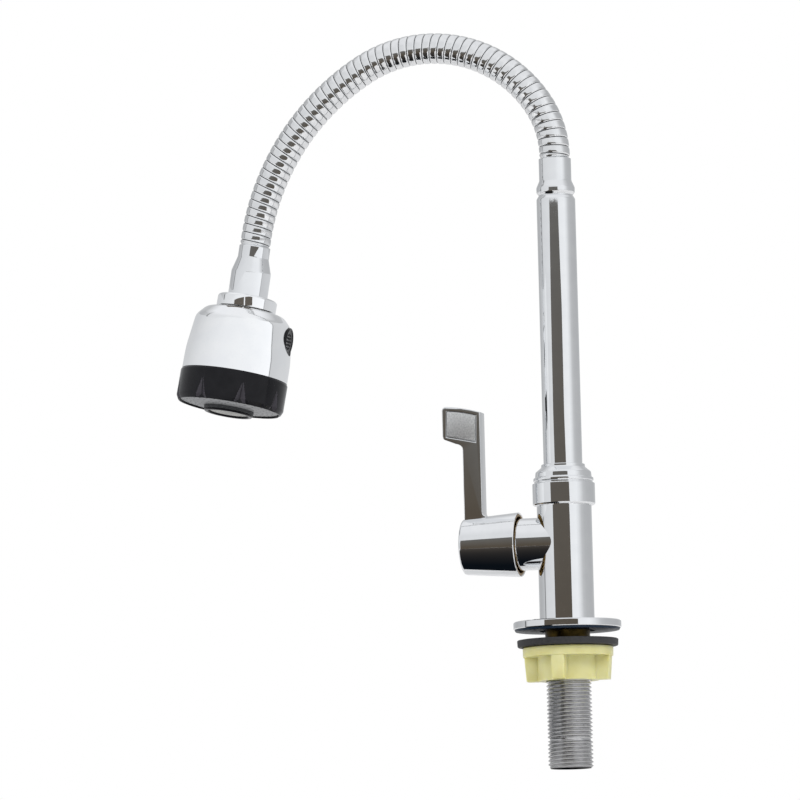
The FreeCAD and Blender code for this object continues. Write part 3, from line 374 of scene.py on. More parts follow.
def make_materials():
    """Every finish by its name; the green plastic is cloudy and lets light into itself."""
    kinds = {name: surface(name, *values[:7], **dict(*values[7:])) for name, values in FINISHES.items()}
    tree = kinds["green_plastic"].node_tree
    set_inputs(tree, tree.nodes["Principled BSDF"], {
        "Subsurface Weight": 0.55, "Subsurface Radius": (1.0, 0.9, 0.35), "Subsurface Scale": 0.004})
    return kinds


MATERIALS = make_materials()


def finish_piece(piece, body, slot, *nodes, finish=None, second=None):
    """Gives a piece its material, body and nodes; finish replaces the slot's own."""
    piece.data.materials.clear()
    piece.data.materials.append(MATERIALS[finish or slot])
    if second:
        piece.data.materials.append(MATERIALS[second])
    if nodes:
        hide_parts(*nodes)
    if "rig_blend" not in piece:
        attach(piece, body)


def turned_piece(name, body, slot, node, matrix, segments, outline, steps=5, finish=None):
    """A turned piece with its material, its body and the node that it stands for."""
    finish_piece(turned(name, outline, matrix, segments, steps), body, slot, node, finish=finish)


def dress_frame():
    """Every CAD node that stays gets its slot's material."""
    for entry in frame["record"]["subparts"]:
        node = frame["nodes"][entry["node"]]
        node.data.materials.clear()
        node.data.materials.append(MATERIALS[entry["material_slot"]])
        set_smooth(node.data)


# Hose

# The hose's line from its start on the riser: (kind, length or radius, degrees of the arc).
HOSE_START = 220.5
HOSE_RUNS = (("line", 1, 0), ("arc", 47, 33), ("arc", 62.2, 87.5), ("arc", 112, 49.5), ("line", 3, 0))
HOSE_RIBS = 60
HOSE_IN_SOCKET = 3.4
HOSE_BORE = 5.7
HOSE_SEGMENTS = 56
# One turn of the wound strip, from the bottom of a crevice to the next: (share of the pitch, radius).
STRIP = ((0.0, 6.4), (0.035, 6.66), (0.07, 6.84), (0.115, 6.96), (0.17, 7.045), (0.25, 7.09),
         (0.36, 7.1), (0.64, 7.1), (0.76, 7.09), (0.84, 7.045), (0.895, 6.96), (0.94, 6.84), (0.975, 6.66))
# Rows of the strip whose faces get the dark crevice finish: painted shade in the crevices between the turns.
CREVICE_ROWS = (0, 12)
# Radius to which the strip is drawn in at its sockets, how far from them, and over what length it fades.
SOCKET_RADIUS = 6.3
SOCKET_EDGE = 0.1
SOCKET_FADE = 0.7
# A piece of the hose bends over this length on each side of its joint.
BEND_REACH = 15


def run_length(run):
    """Length of one run of the hose."""
    kind, first, degrees = run
    return first if kind == "line" else first * math.radians(degrees)


HOSE_LENGTH = sum(run_length(run) for run in HOSE_RUNS)
RIB_PITCH = HOSE_LENGTH / HOSE_RIBS


def hose_point(distance):
    """(point, direction) on the hose's line, at a distance from its visible start."""
    x, z, heading = 0.0, HOSE_START, math.pi / 2
    if distance <= 0:
        return Vector((0, 0, z + distance)), Vector((0, 0, 1))
    for run in HOSE_RUNS:
        step = min(distance, run_length(run))
        if run[0] == "line":
            x += step * math.cos(heading)
            z += step * math.sin(heading)
        else:
            after = heading + step / run[1]
            x += run[1] * (math.sin(after) - math.sin(heading))
            z += run[1] * (math.cos(heading) - math.cos(after))
            heading = after
        distance -= step
        if distance <= 0:
            break
    direction = Vector((math.cos(heading), 0, math.sin(heading)))
    return Vector((x, 0, z)) + direction * max(distance, 0), direction


def strip_radius(distance, radius):
    """The wound strip's radius, drawn in where the hose enters its sockets."""
    edge = min(distance, HOSE_LENGTH - distance)
    fade = min(max((edge - SOCKET_EDGE) / SOCKET_FADE, 0), 1)
    return SOCKET_RADIUS + (radius - SOCKET_RADIUS) * fade


def hose_mesh(low, high):
    """(vertices, faces, indices of the crevice faces painted dark as shade) of the wound strip and its bore
    between two turns.
    """
    turn_rows = len(STRIP)
    vertices, faces, seen, dark = [], [], {}, set()

    def point(row, segment, bore=False):
        """Index of the vertex on a row of the strip or the bore; a full turn runs on into the next one."""
        if segment == HOSE_SEGMENTS:
            row, segment = row + turn_rows, 0
        if (row, segment, bore) not in seen:
            turn, share = divmod(row, turn_rows)
            distance = (turn + STRIP[share][0] + segment / HOSE_SEGMENTS) * RIB_PITCH
            radius = HOSE_BORE if bore else strip_radius(distance, STRIP[share][1])
            distance = min(max(distance, -HOSE_IN_SOCKET), HOSE_LENGTH + HOSE_IN_SOCKET)
            centre, direction = hose_point(distance)
            angle = TAU * segment / HOSE_SEGMENTS
            out = SIDE.cross(direction)
            seen[row, segment, bore] = len(vertices)
            vertices.append(centre + (SIDE * math.cos(angle) + out * math.sin(angle)) * radius)
        return seen[row, segment, bore]

    first, last = low * turn_rows, high * turn_rows
    for row in range(first, last):
        for segment in range(HOSE_SEGMENTS):
            # Faces of the crevice rows get the painted-shade finish.
            if row % turn_rows in CREVICE_ROWS:
                dark.add(len(faces))
            faces.append((point(row, segment), point(row, segment + 1),
                          point(row + 1, segment + 1), point(row + 1, segment)))
    for row in range(first, last, turn_rows):
        for segment in range(HOSE_SEGMENTS):
            faces.append((point(row, segment, True), point(row + turn_rows, segment, True),
                          point(row + turn_rows, segment + 1, True), point(row, segment + 1, True)))
    for row in (first, last):
        ends = [(point(row, segment), point(row, segment, True),
                 point(row, segment + 1, True), point(row, segment + 1)) for segment in range(HOSE_SEGMENTS)]
        ends.append([point(row + step, 0) for step in range(turn_rows + 1)]
                    + [point(row + turn_rows, 0, True), point(row, 0, True)])
        faces += ends if row == first else [face[::-1] for face in ends]
    return vertices, [face[::-1] for face in faces], dark


def make_hose():
    """The wound hose in pieces, each bending over one joint."""
    bends = [joint for joint in frame["joints"] if joint["name"].startswith("hose_")]
    spare = math.ceil(HOSE_IN_SOCKET / RIB_PITCH)
    cuts = [HOSE_RIBS * index // len(bends) for index in range(len(bends) + 1)]
    cuts[0] -= 1 + spare
    cuts[-1] += spare
    for index, joint in enumerate(bends):
        vertices, faces, dark = hose_mesh(cuts[index], cuts[index + 1])
        piece = make_object("hose_%d" % (index + 1), vertices, faces, IN_PLACE)
        keep_sharp(piece, 75)
        pivot = Vector(joint["pos_m"])
        middle = HOSE_LENGTH * (index + 0.5) / len(bends)
        along = hose_point(middle)[1] * BEND_REACH * MM
        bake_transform(piece, joint["parent"], joint["child"], start=pivot - along, end=pivot + along)
        stretches = ["hose_stretch_%d" % (index + 1)]
        if index == len(bends) - 1:
            stretches.append("hose_stretch_%d" % (index + 2))
        # The second finish paints shade onto the crevice faces.
        finish_piece(piece, None, "hose_steel", *stretches, second="crevice_painted_shade")
        for face in dark:
            piece.data.polygons[face].material_index = 1


# Turned pieces of the pillar. A point of an outline is (radius, station on the piece's axis); a third number
# rounds the corner there.

def make_pillar():
    """Flange, gasket, pillar with its branch, collar nut and riser."""
    turned_piece("flange", "base", "chrome", "base_flange", PILLAR, 128, [
        (10.8, 1.1), (24.6, 1.02, 0.4), (24.99, 1.4), (24.99, 4.1, 0.4), (24.4, 4.5), (10.8, 4.5)])
    turned_piece("gasket", "base", "navy_rubber", "flange_gasket", PILLAR, 96, [
        (13, 0), (24.1, 0, 0.3), (24.5, 0.98), (13, 1.0), (13, 0)])
    turned_piece("pillar", "base", "chrome", "tap_body", PILLAR, 128, [
        (10.6, 4.52), (12.4, 4.52, 0.3), (12.7, 4.9, 0.3), (12.7, 58), (11.5, 58), (11.5, 62), (8.95, 62),
        (8.95, 50.5)])
    turned_piece("branch", "base", "chrome", "tap_body", BRANCH, 128, [
        (12.1, 1), (12.1, 25.4, 0.5), (11.6, 26, 0.5), (8.65, 26), (8.65, 6)])
    turned_piece("collar", "base", "chrome", "collar_nut", PILLAR, 128, [
        (11.7, 58.35), (14.0, 58.35, 0.5), (14.5, 59.0, 0.5), (14.5, 68.5, 0.35), (13.5, 68.6, 0.2),
        (13.5, 69.3, 0.2), (13.95, 69.6, 0.8), (13.95, 71.1, 0.7), (13.15, 71.3, 0.3), (12.9, 73.8, 1.4),
        (10.2, 76, 1.0), (10.1, 77.4, 0.4), (9.35, 77.5), (9.35, 66)])
    turned_piece("riser", "spout", "chrome", "riser_tube", PILLAR, 128, [
        (8, 64.6), (9, 64.6), (9, 199.5), (8, 199.5), (8, 64.6)])
    turned_piece("riser_end", "spout", "chrome", "riser_hose_ferrule", PILLAR, 128, [
        (7.9, 195), (9, 199.5, 0.2), (9, 201.2, 1.5), (7.95, 202.9, 0.3), (7.95, 203.2, 0.2),
        (8.9, 204.3, 1.2), (8.95, 206.6, 1.9), (7.5, 209.9, 2.2), (7.5, 220.2, 0.3), (6.6, 220.5, 0.2),
        (6.5, 217)], steps=10)


# Threaded tail: pitch, radius over the crests, depth, ends, groove, bore, and the chamfer at its end.
THREAD_PITCH = 25.4 / 14
THREAD_CREST = 10.4775
THREAD_DEPTH = 0.95
# One turn of the thread: (share of the pitch, share of the depth).
THREAD = ((0.0, 1.0), (0.06, 0.97), (0.18, 0.72), (0.36, 0.2), (0.44, 0.04), (0.52, 0.0), (0.6, 0.04),
          (0.68, 0.2), (0.86, 0.72), (0.97, 0.97))
TAIL_END = -63.7
TAIL_TOP = -4.0
TAIL_GROOVE = (-50.9, -49.9)
TAIL_BORE = 6.3
GROOVE_EXTRA = 0.1
CHAMFER = 1.1
CHAMFER_LIMIT = 1.3


def thread_radius(height, share):
    """Radius of the thread's strip at a height, with a chamfered end and a run-out groove."""
    crest = THREAD_CREST - THREAD_DEPTH * share
    chamfer = THREAD_CREST - CHAMFER + (height - TAIL_END)
    if TAIL_GROOVE[0] < height < TAIL_GROOVE[1]:
        crest = THREAD_CREST - THREAD_DEPTH - GROOVE_EXTRA
    return min(crest, max(chamfer, THREAD_CREST - CHAMFER_LIMIT))


def make_tail():
    """Threaded tail with its helix, hollow, on the tap's axis."""
    segments = 72
    turns = math.ceil((TAIL_TOP - TAIL_END) / THREAD_PITCH) + 1
    rows = (turns + 1) * len(THREAD)
    vertices, faces = [], []
    for row in range(rows + len(THREAD) + 1):
        turn, share = divmod(row, len(THREAD))
        for segment in range(segments):
            height = TAIL_END + (turn - 1 + THREAD[share][0] + segment / segments) * THREAD_PITCH
            height = min(max(height, TAIL_END), TAIL_TOP)
            radius = thread_radius(height, THREAD[share][1])
            angle = TAU * segment / segments
            vertices.append((radius * math.cos(angle), radius * math.sin(angle), height))
    for row in range(rows):
        for segment in range(segments):
            here = row * segments + segment
            there = here + 1 if segment + 1 < segments else (row + len(THREAD)) * segments
            faces.append((here, there, there + segments, here + segments))
    piece = make_object("tail_thread", vertices, faces, PILLAR)
    drop_flat_faces(piece)
    finish_piece(piece, "base", "steel_thread", "inlet_shank")
    rim = THREAD_CREST - CHAMFER
    turned_piece("tail_bore", "base", "steel_thread", "inlet_shank", PILLAR, 96, [
        (TAIL_BORE, 10), (TAIL_BORE, TAIL_END, 0.3), (rim, TAIL_END, 0.3), (rim, TAIL_END + 0.4)])
    # The neck's brass is painted dark as the shade that lies under the flange.
    turned_piece("tail_neck", "base", "steel_thread", "inlet_shank", PILLAR, 96, [
        (9.3, TAIL_TOP), (10.4, TAIL_TOP), (10.4, 15), (TAIL_BORE, 15), (TAIL_BORE, 10)], finish="brass_painted_shade")


def drop_flat_faces(piece):
    """Welds a mesh and removes its faces without area, as a clamped helix leaves them at its ends."""
    mesh = bmesh.new()
    mesh.from_mesh(piece.data)
    bmesh.ops.remove_doubles(mesh, verts=mesh.verts, dist=WELD)
    flat = [face for face in mesh.faces if face.calc_area() < LEAST_AREA]
    bmesh.ops.delete(mesh, geom=flat, context="FACES")
    mesh.to_mesh(piece.data)
    mesh.free()
    set_smooth(piece.data)


def make_clamp():
    """Rubber washer and moulded backnut."""
    turned_piece("washer", "clamp_washer", "charcoal_rubber", "rubber_washer", PILLAR, 96, [
        (10.6, -7.3), (23.3, -7.3, 0.6), (23.5, -4.0, 0.5), (10.6, -4.0), (10.6, -7.3)])

    core, lug_half, lug_foot, lug_draft = 14.1, 3, 19.6, 0.9
    lugs, first = 4, math.radians(88.5)
    low, under, top = -23.1, -12.0, -7.6

    def lobed(angle, radius, height):
        """Radius of the nut, whose four straight-sided lugs stand on its core below the flange."""
        if radius < core or height > under - 0.02:
            return radius
        step = TAU / lugs
        across = abs((angle - first + step / 2) % step - step / 2)
        rim = lug_foot + lug_draft * (height - low) / (under - low)
        side = lug_half / math.sin(across) if across > TINY else rim
        return min(radius, max(core, min(rim, side)))

    outline = [(10.6, low), (core, low), (lug_foot, low, 0.4), (lug_foot + lug_draft, under - 0.05),
               (lug_foot + lug_draft, under), (20.9, under, 0.25), (21, top, 0.5), (10.6, top)]
    nut = modelled("backnut_moulding", outline, PILLAR, lobed, 360, 0.6)
    drop_flat_faces(nut)
    keep_sharp(nut)
    finish_piece(nut, "clamp_nut", "green_plastic", "backnut")


# Lever

def make_lever():
    """Hub with its brass ring, arm with its flag, and inlay."""
    turned_piece("lever_hub", "lever", "chrome", "lever_handle", BRANCH, 128, [
        (8.3, 37), (12.5, 30.5), (12.5, 25.4), (14.2, 25.4), (14.2, 21.7), (14.75, 21.2, 0.15),
        (15, 21.6, 0.3), (12.92, 48.05, 1.4), (0, 48.1)], steps=10)
    turned_piece("hub_ring", "lever", "brass", "hub_bush", BRANCH, 96, [
        (12.5, 24.6), (13.25, 24.6), (13.25, 21.5, 0.1), (14.15, 21.4, 0.1), (14.15, 25.3), (12.5, 25.3),
        (12.5, 24.6)], finish="aged_brass")

    # The arm's sides and the flag's end, from the tap's axis; then its outline as (x, z), with its roundings.
    near, far, flag = -38.0, -46.7, -56.1
    depth = 9.2
    outline = [(near + 1.6, 46), (near + 1.6, 54.8)] + arc_points((near + 1.6, 54.8), (near, 56.6), 1.8, 4)
    outline += [(near, 103.4)] + arc_points((near, 103.4), (flag, 106.6), -70, 8)
    outline[-1] += (1.8,)
    outline += [(flag, 91.4, 1.8), (far - 3, 88.85)]
    outline += arc_points((far - 3, 88.85), (far, 85.9), 3, 6)
    outline += [(far, 46)]
    arm = extruded("lever_arm", soft_corners(outline), -depth / 2, depth / 2)
    window = [(-40.3, 89.3), (-39.9, 101.8)]
    window += arc_points(window[-1], (-54.0, 104.4), -70, 8)
    window += [(-54.3, 92.3)]
    cutter = extruded("window_cutter", window, -depth / 2 - 1, -depth / 2 + 0.7)
    cut_away(arm, cutter)
    round_edges(arm, 0.55, 3)
    finish_piece(arm, "lever", "chrome", "lever_handle")

    middle = Vector((sum(x for x, _ in window), sum(z for _, z in window))) / len(window)
    plate = [tuple(middle + (Vector(point) - middle) * 0.95) for point in window]
    inlay = extruded("lever_plate", plate, -depth / 2 + 0.05, -depth / 2 + 0.72)
    round_edges(inlay, 0.2, 2)
    finish_piece(inlay, "lever", "silver_inlay", "lever_inlay")


def soft_corners(corners):
    """The points of an outline (x, z) or (x, z, fillet) with its fillets drawn as short steps."""
    spans = rounded(corners, 5)
    return [tuple(span[0]) for span in spans] + [tuple(spans[-1][2])]


def arc_points(start, end, radius, steps):
    """Points after start, up to and with end, on a short arc; a positive radius bulges left."""
    a, b = Vector(start), Vector(end)
    chord = b - a
    middle = (a + b) / 2
    left = Vector((-chord.y, chord.x)).normalized()
    offset = math.sqrt(max(radius * radius - chord.length_squared / 4, 0))
    centre = middle + left * (offset if radius < 0 else -offset)
    arm = a - centre
    sweep = arm.angle_signed(b - centre)
    return [tuple(centre + Matrix.Rotation(-sweep * step / steps, 2) @ arm) for step in range(1, steps + 1)]


def extruded(name, outline, front, back):
    """A prism of an outline in the plane of the hose (x, z), between two depths y."""
    count = len(outline)
    vertices = [(x, front, z) for x, z in outline] + [(x, back, z) for x, z in outline]
    faces = [list(range(count)), list(range(2 * count - 1, count - 1, -1))]
    for index in range(count):
        following = (index + 1) % count
        faces.append((index, index + count, following + count, following))
    piece = make_object(name, vertices, faces, IN_PLACE)
    keep_sharp(piece, 30)
    return piece


def cut_away(piece, cutter):
    """Takes the cutter's solid out of the piece and removes the cutter."""
    cut = piece.modifiers.new("cut", "BOOLEAN")
    cut.operation = "DIFFERENCE"
    cut.solver = "EXACT"
    cut.object = cutter
    apply_modifiers(piece)
    bpy.data.objects.remove(cutter)


def apply_modifiers(piece):
    """Turns a piece's modifiers into its mesh."""
    evaluated = piece.evaluated_get(bpy.context.evaluated_depsgraph_get())
    mesh = bpy.data.meshes.new_from_object(evaluated)
    piece.modifiers.clear()
    piece.data = mesh


def round_edges(piece, width, segments):
    """Rounds a piece's sharp edges."""
    bevel = piece.modifiers.new("edges", "BEVEL")
    bevel.width = width * MM
    bevel.segments = segments
    bevel.limit_method = "ANGLE"
    bevel.angle_limit = math.radians(35)
    apply_modifiers(piece)
    set_smooth(piece.data)
    keep_sharp(piece)


# Spray head

def make_hose_end():
    """Turned end of the hose above the ball joint."""
    turned_piece("hose_end_sleeve", "hose_7", "chrome", "head_hose_ferrule", HOSE_END, 128, [
        (3.5, 4), (6.5, 4), (6.5, 0.1), (7.1, 0, 0.25), (7.3, 0.4, 0.25), (7.3, 5.6, 3), (9.3, 12.4, 4),
        (9.3, 23.6, 0.5), (8.6, 24, 0.3), (5, 24), (5, 27)], steps=8)
    throat, flat, steps = 5, 4.5, 18
    start, end = math.asin(throat / BALL_RADIUS), math.acos(-flat / BALL_RADIUS)
    ball = [(throat, 26.2)]
    for step in range(steps + 1):
        angle = start + (end - start) * step / steps
        ball.append((BALL_RADIUS * math.sin(angle), BALL_STATION - BALL_RADIUS * math.cos(angle)))
    ball += [(3.5, BALL_STATION + flat), (3.5, 4)]
    turned_piece("hose_end_ball", "hose_7", "chrome", "head_hose_ferrule", HOSE_END, 96, ball)
    turned_piece("joint_ring", "head_joint", "chromed_plastic", "head_collar_ring", HEAD, 128, [
        (8.2, 26.4), (11.4, 26.3, 0.2), (11.6, 24.6, 0.3), (13.2, 24.4, 0.9), (14, 25.2, 0.9), (14, 30.1),
        (11, 30.15)])


# The nozzle plate's crowned face: its stations at the rim, at a bend between, and beside the mouth.
PLATE_RIM = 76.2
PLATE_BEND = 77.3
PLATE_TOP = 77.6
BEND_RADIUS = 17.5


def make_head():
    """Shell, grip ring, nozzle plate and aerator."""
    shell = [(11.6, 32.3), (11.6, 30.65), (14.0, 30.65, 1), (18.6, 31.6, 4.5), (22.7, 36, 6), (24.8, 52, 60),
             (24.9, 62.05), (23.1, 62.05), (22.9, 50), (20.6, 36.5, 3), (11.6, 32.3)]
    body = modelled("shell", shell, HEAD, lambda angle, radius, height: radius, 240, 1.2, 10)
    opening = [(0, 19), (6.62, 19), (6.62, 29), (0, 29)]
    for side in (1, -1):
        matrix = axis_frame(SHUTTLE_MIDDLE, ACROSS * side, SIDE)
        cut_away(body, turned("opening_cutter", opening, matrix, 64))
    drop_flat_faces(body)
    keep_sharp(body, 32)
    finish_piece(body, "spray_head", "chromed_plastic", "head_shell")

    notches, notch_turn = 8, math.radians(19)
    notch_top, notch_half, notch_depth = 66.8, 3.0, 2.0
    face, lip = 77.2, 23.75

    def notched(angle, radius, height):
        """Radius of the grip ring with its three-sided notches, deepest at the face."""
        if radius < lip or height < notch_top:
            return radius
        step = TAU / notches
        across = (angle - notch_turn + step / 2) % step - step / 2
        share = min((height - notch_top) / (face - notch_top), 1)
        half = notch_half * share
        away = abs(across) * radius
        if half < TINY or away >= half:
            return radius
        return max(lip, radius - notch_depth * share * (1 - away / half))

    outline = [(21.9, 60), (23, 60), (23, 62.1), (24.85, 62.1, 0.15), (25.32, 63.0, 0.5), (25.32, 75.0, 1.8),
               (24.2, face, 0.5), (23.6, face - 0.1, 0.1), (23.5, 75.2), (21.9, 75.2), (21.9, 60)]
    grip = modelled("grip", outline, HEAD, notched, 480, 0.35)
    keep_sharp(grip, 20)
    # The second finish, on the notch sides, is matt and painted lighter.
    finish_piece(grip, "spray_head", "black_plastic", "grip_ring", second="matt_black_painted_light")
    paint_notch_sides_lighter(grip)

    turned_piece("plate_face", "spray_head", "grey_plastic", "nozzle_plate", HEAD, 96, [
        (11.8, 72), (21.8, 72), (21.8, 75.4), (23.4, 75.4), (23.4, PLATE_RIM, 0.3),
        (BEND_RADIUS, PLATE_BEND, 12), (11.8, PLATE_TOP), (11.8, 72)])
    make_nozzles()
    turned_piece("mouth_ring", "spray_head", "dark_plastic", "aerator_housing", HEAD, 128, [
        (7, 64), (11.7, 64), (11.7, 79.2, 0.2), (10.6, 79.3), (9.5, 79.3), (9.5, 72.4), (7, 72.4), (7, 64)])
    turned_piece("mouth_lip", "spray_head", "dark_plastic", "aerator_housing", HEAD, 128, [
        (9.6, 79.2), (11.5, 79.2), (11.55, 79.7, 0.3), (11.1, 80.2, 0.3), (9.9, 80.2, 0.3), (9.55, 79.7, 0.3),
        (9.55, 79.2)], finish="black_plastic")
    make_screen()
    make_buttons()


def paint_notch_sides_lighter(grip):
    """Gives the two flat sides of each notch, which look sideways as well as outwards, a matt finish with a
    lighter colour: painted light that makes the notches show.
    """
    to_head = HEAD.inverted()
    inner, outer, face = 22.5, 25.3, 76.9
    least_outward, least_sideways = 0.4, 0.25
    for polygon in grip.data.polygons:
        point = to_head @ (polygon.center / MM)
        normal = to_head.to_3x3() @ polygon.normal
        reach = math.hypot(point.x, point.y)
        if reach < inner or reach > outer or point.z > face:
            continue
        outward = (normal.x * point.x + normal.y * point.y) / reach
        sideways = (normal.y * point.x - normal.x * point.y) / reach
        if outward > least_outward and abs(sideways) > least_sideways:
            polygon.material_index = 1


def make_nozzles():
    """Small nozzle mouths in rings on the plate, each a shallow rimmed cup painted dark: painted shade in
    place of the holes' depth.
    """
    vertices, faces = [], []
    sides, sunk, slope_width = 10, 0.05, 5.8
    for ring, (radius, count) in enumerate(((13.8, 20), (16, 24), (18.2, 28), (20.4, 32))):
        rise = PLATE_TOP - PLATE_BEND if radius < BEND_RADIUS else PLATE_BEND - PLATE_RIM
        plate = PLATE_BEND - sunk + rise * (BEND_RADIUS - radius) / slope_width
        section = ((0.42, plate - 0.05), (0.38, plate + 0.08), (0.26, plate + 0.08), (0.24, plate + 0.02))
        for centre in ring_points(radius, count, 0, 0.5 * (ring % 2)):
            add_rings(vertices, faces, centre, section, sides, section[-1][1])
    piece = make_object("nozzles", vertices, faces, HEAD)
    keep_sharp(piece, 50)
    # Their dark finish is the painted shade of the holes.
    finish_piece(piece, "spray_head", "grey_plastic", "nozzle_plate", finish="hole_painted_shade")


def ring_points(radius, count, height, shift=0):
    """Points spread evenly on a ring, turned on by a share of their spacing."""
    angles = [TAU * (index + shift) / count for index in range(count)]
    return [Vector((radius * math.cos(angle), radius * math.sin(angle), height)) for angle in angles]


def add_rings(vertices, faces, centre, section, sides, tip):
    """Adds a small turned form: rings of (radius, height) that close at a tip height."""
    base = len(vertices)
    for reach, height in section:
        vertices += [centre + point for point in ring_points(reach, sides, height)]
    vertices.append(centre + Vector((0, 0, tip)))
    faces += ring_faces(base, sides, len(section), len(vertices) - 1)


def make_screen():
    """Fine wire screen in the mouth, slightly domed."""
    radius, wire, spacing, steps = 9.3, 0.16, 0.8, 10
    rim, dome, crossing = 79.0, 0.7, 0.1
    vertices, faces = [], []
    count = int(radius / spacing)
    for across in (0, 1):
        for index in range(-count, count + 1):
            offset = index * spacing
            half = math.sqrt(radius * radius - offset * offset)
            base = len(vertices)
            for step in range(steps + 1):
                along = -half + 2 * half * step / steps
                height = rim + dome * (1 - (along ** 2 + offset ** 2) / radius ** 2) + crossing * across
                for side, rise in ((-wire, 0), (0, wire), (wire, 0), (0, -wire)):
                    point = (along, offset + side) if across else (offset + side, along)
                    vertices.append((*point, height + rise))
            tube = ring_faces(base, 4, steps + 1)
            faces += [face[::-1] for face in tube] if across else tube
    piece = make_object("mouth_screen", vertices, faces, HEAD)
    finish_piece(piece, "spray_head", "grey_plastic", "aerator_insert", finish="screen_wire")
    turned_piece("mouth_floor", "spray_head", "grey_plastic", "aerator_insert", HEAD, 64, [
        (0, 73.5), (9.4, 73.5), (9.4, 78.6), (0, 78.6)])


def make_buttons():
    """Round buttons with raised dots on both ends of the shuttle."""
    dot_radius, dot_height, levels, sides = 0.5, 0.5, 3, 12
    lifts = [math.pi / 2 * level / levels for level in range(levels)]
    dome = [(dot_radius * math.cos(lift), dot_height * math.sin(lift)) for lift in lifts]
    for label, side, outer in (("right", 1, 23.7), ("left", -1, 21.7)):
        matrix = axis_frame(SHUTTLE_MIDDLE, ACROSS * side, SIDE)
        node = "push_button_" + label
        turned_piece("button_" + label, "spray_shuttle", "black_plastic", node, matrix, 64, [
            (0, outer - 4.4), (6.5, outer - 4.4), (6.5, outer - 0.3, 0.5), (5.9, outer, 0.4),
            (5.2, outer - 0.45, 0.6), (0, outer - 0.8)])
        vertices, faces = [], []
        for radius, count in ((0, 1), (1.7, 6), (3.4, 12)):
            for centre in ring_points(radius, count, outer - 0.72):
                add_rings(vertices, faces, centre, dome, sides, dot_height)
        piece = make_object("button_dots_" + label, vertices, faces, matrix)
        finish_piece(piece, "spray_shuttle", "black_plastic", node)


# Camera, studio and light

def view_axes():
    """(right, up, back) of the camera before its roll; back points from the tap to the camera."""
    azimuth, elevation = math.radians(VIEW_AZIMUTH), math.radians(VIEW_ELEVATION)
    back = Vector((math.sin(azimuth) * math.cos(elevation), -math.cos(azimuth) * math.cos(elevation),
                   math.sin(elevation)))
    right = Vector((math.cos(azimuth), math.sin(azimuth), 0))
    return right, back.cross(right), back


def make_camera():
    """Long-lens camera at the photograph's angle, framed from the pixel that shows the origin."""
    right, up, back = view_axes()
    roll = math.radians(VIEW_ROLL)
    image_right = right * math.cos(roll) - up * math.sin(roll)
    image_up = right * math.sin(roll) + up * math.cos(roll)
    scale = MM / PIXELS_PER_MM
    across, above = IMAGE_SIDE / 2 - ORIGIN_PIXEL[0], ORIGIN_PIXEL[1] - IMAGE_SIDE / 2
    centre = (image_right * across + image_up * above) * scale
    data = bpy.data.cameras.new("camera")
    data.sensor_width = SENSOR
    data.lens = SENSOR * CAMERA_DISTANCE / (IMAGE_SIDE * scale)
    data.clip_end = 100
    camera = linked("camera", data)
    turn = Matrix((image_right, image_up, back)).transposed().to_4x4()
    camera.matrix_world = Matrix.Translation(centre + back * CAMERA_DISTANCE) @ turn
    bpy.context.scene.camera = camera


def level_axes():
    """(right, back) of the camera along the floor; back points towards the camera."""
    right, _, back = view_axes()
    return right, Vector((back.x, back.y, 0)).normalized()


def cool(grey):
    """A slightly bluish grey of the studio."""
    return grey * 0.985, grey, grey * 1.02, 1


# Brightness round the object as its chrome shows it: (degrees to the right of the camera, grey).
STUDIO = ((-180, 0.6), (-140, 0.48), (-118, 0.53), (-104.5, 0.6), (-102.5, 0.1), (-101, 0.1), (-99, 0.66),
          (-92, 0.76), (-60, 0.8), (0, 0.86), (20, 0.95), (48, 0.98), (60, 0.86), (76, 0.6), (92, 0.53),
          (135, 0.5), (180, 0.6))
# Between these heights on the sphere of directions the bands pass into the light from overhead.
OVERHEAD_FROM_TO = (0.62, 0.85)
OVERHEAD_LIGHT = (0.9, 0.91, 0.93)
EVEN_LIGHT = (0.62, 0.62, 0.63)


def make_world():
    """White to the camera; soft bands of grey to polished surfaces; an even light to the rest."""
    world = bpy.data.worlds.new("studio")
    bpy.context.scene.world = world
    world.use_nodes = True
    tree = world.node_tree
    direction = add_node(tree, "TexCoord", {}).outputs["Generated"]
    turns = [add_node(tree, "VectorMath", {0: direction, 1: axis}, operation="DOT_PRODUCT").outputs["Value"]
             for axis in level_axes()]
    angle = add_node(tree, "Math", {0: turns[0], 1: turns[1]}, operation="ARCTAN2").outputs["Value"]
    ramp = add_node(tree, "ValToRGB", {"Fac": ranged(tree, angle, 0, 1, (-math.pi, math.pi))})
    stops = ramp.color_ramp.elements
    while len(stops) > 1:
        stops.remove(stops[0])
    for index, (degrees, grey) in enumerate(STUDIO):
        spot = (degrees + 180) / 360
        stop = stops.new(spot) if index else stops[0]
        stop.position = spot
        stop.color = cool(grey)
    height = add_node(tree, "SeparateXYZ", {"Vector": direction}).outputs["Z"]
    overhead = ranged(tree, height, 0, 1, OVERHEAD_FROM_TO)
    bands = blended(tree, overhead, ramp.outputs["Color"], OVERHEAD_LIGHT)
    rays = add_node(tree, "LightPath", {}).outputs
    mirrored = {0: rays["Is Glossy Ray"], 1: rays["Is Transmission Ray"]}
    polished = add_node(tree, "Math", mirrored, operation="MAXIMUM").outputs["Value"]
    light = blended(tree, polished, EVEN_LIGHT, bands)
    seen = blended(tree, rays["Is Camera Ray"], light, (1, 1, 1))
    set_inputs(tree, tree.nodes["Background"], {"Color": seen})


def make_floor():
    """Pale floor under the tail, seen from above only, because the photograph looks up at the object."""
    reach, gap = 6000, 0.05
    low = cad_low.z / MM - gap
    corners = [(-reach, -reach, low), (reach, -reach, low), (reach, reach, low), (-reach, reach, low)]
    floor = make_object("floor", corners, [(0, 1, 2, 3)], IN_PLACE, smooth=False)
    material, tree, shader = new_material("floor")
    set_inputs(tree, shader, {
        "Base Color": (0.86, 0.86, 0.86, 1), "Roughness": 0.8, "Specular IOR Level": 0.1})
    show_one_side(tree, shader.outputs["BSDF"])
    floor.data.materials.append(material)


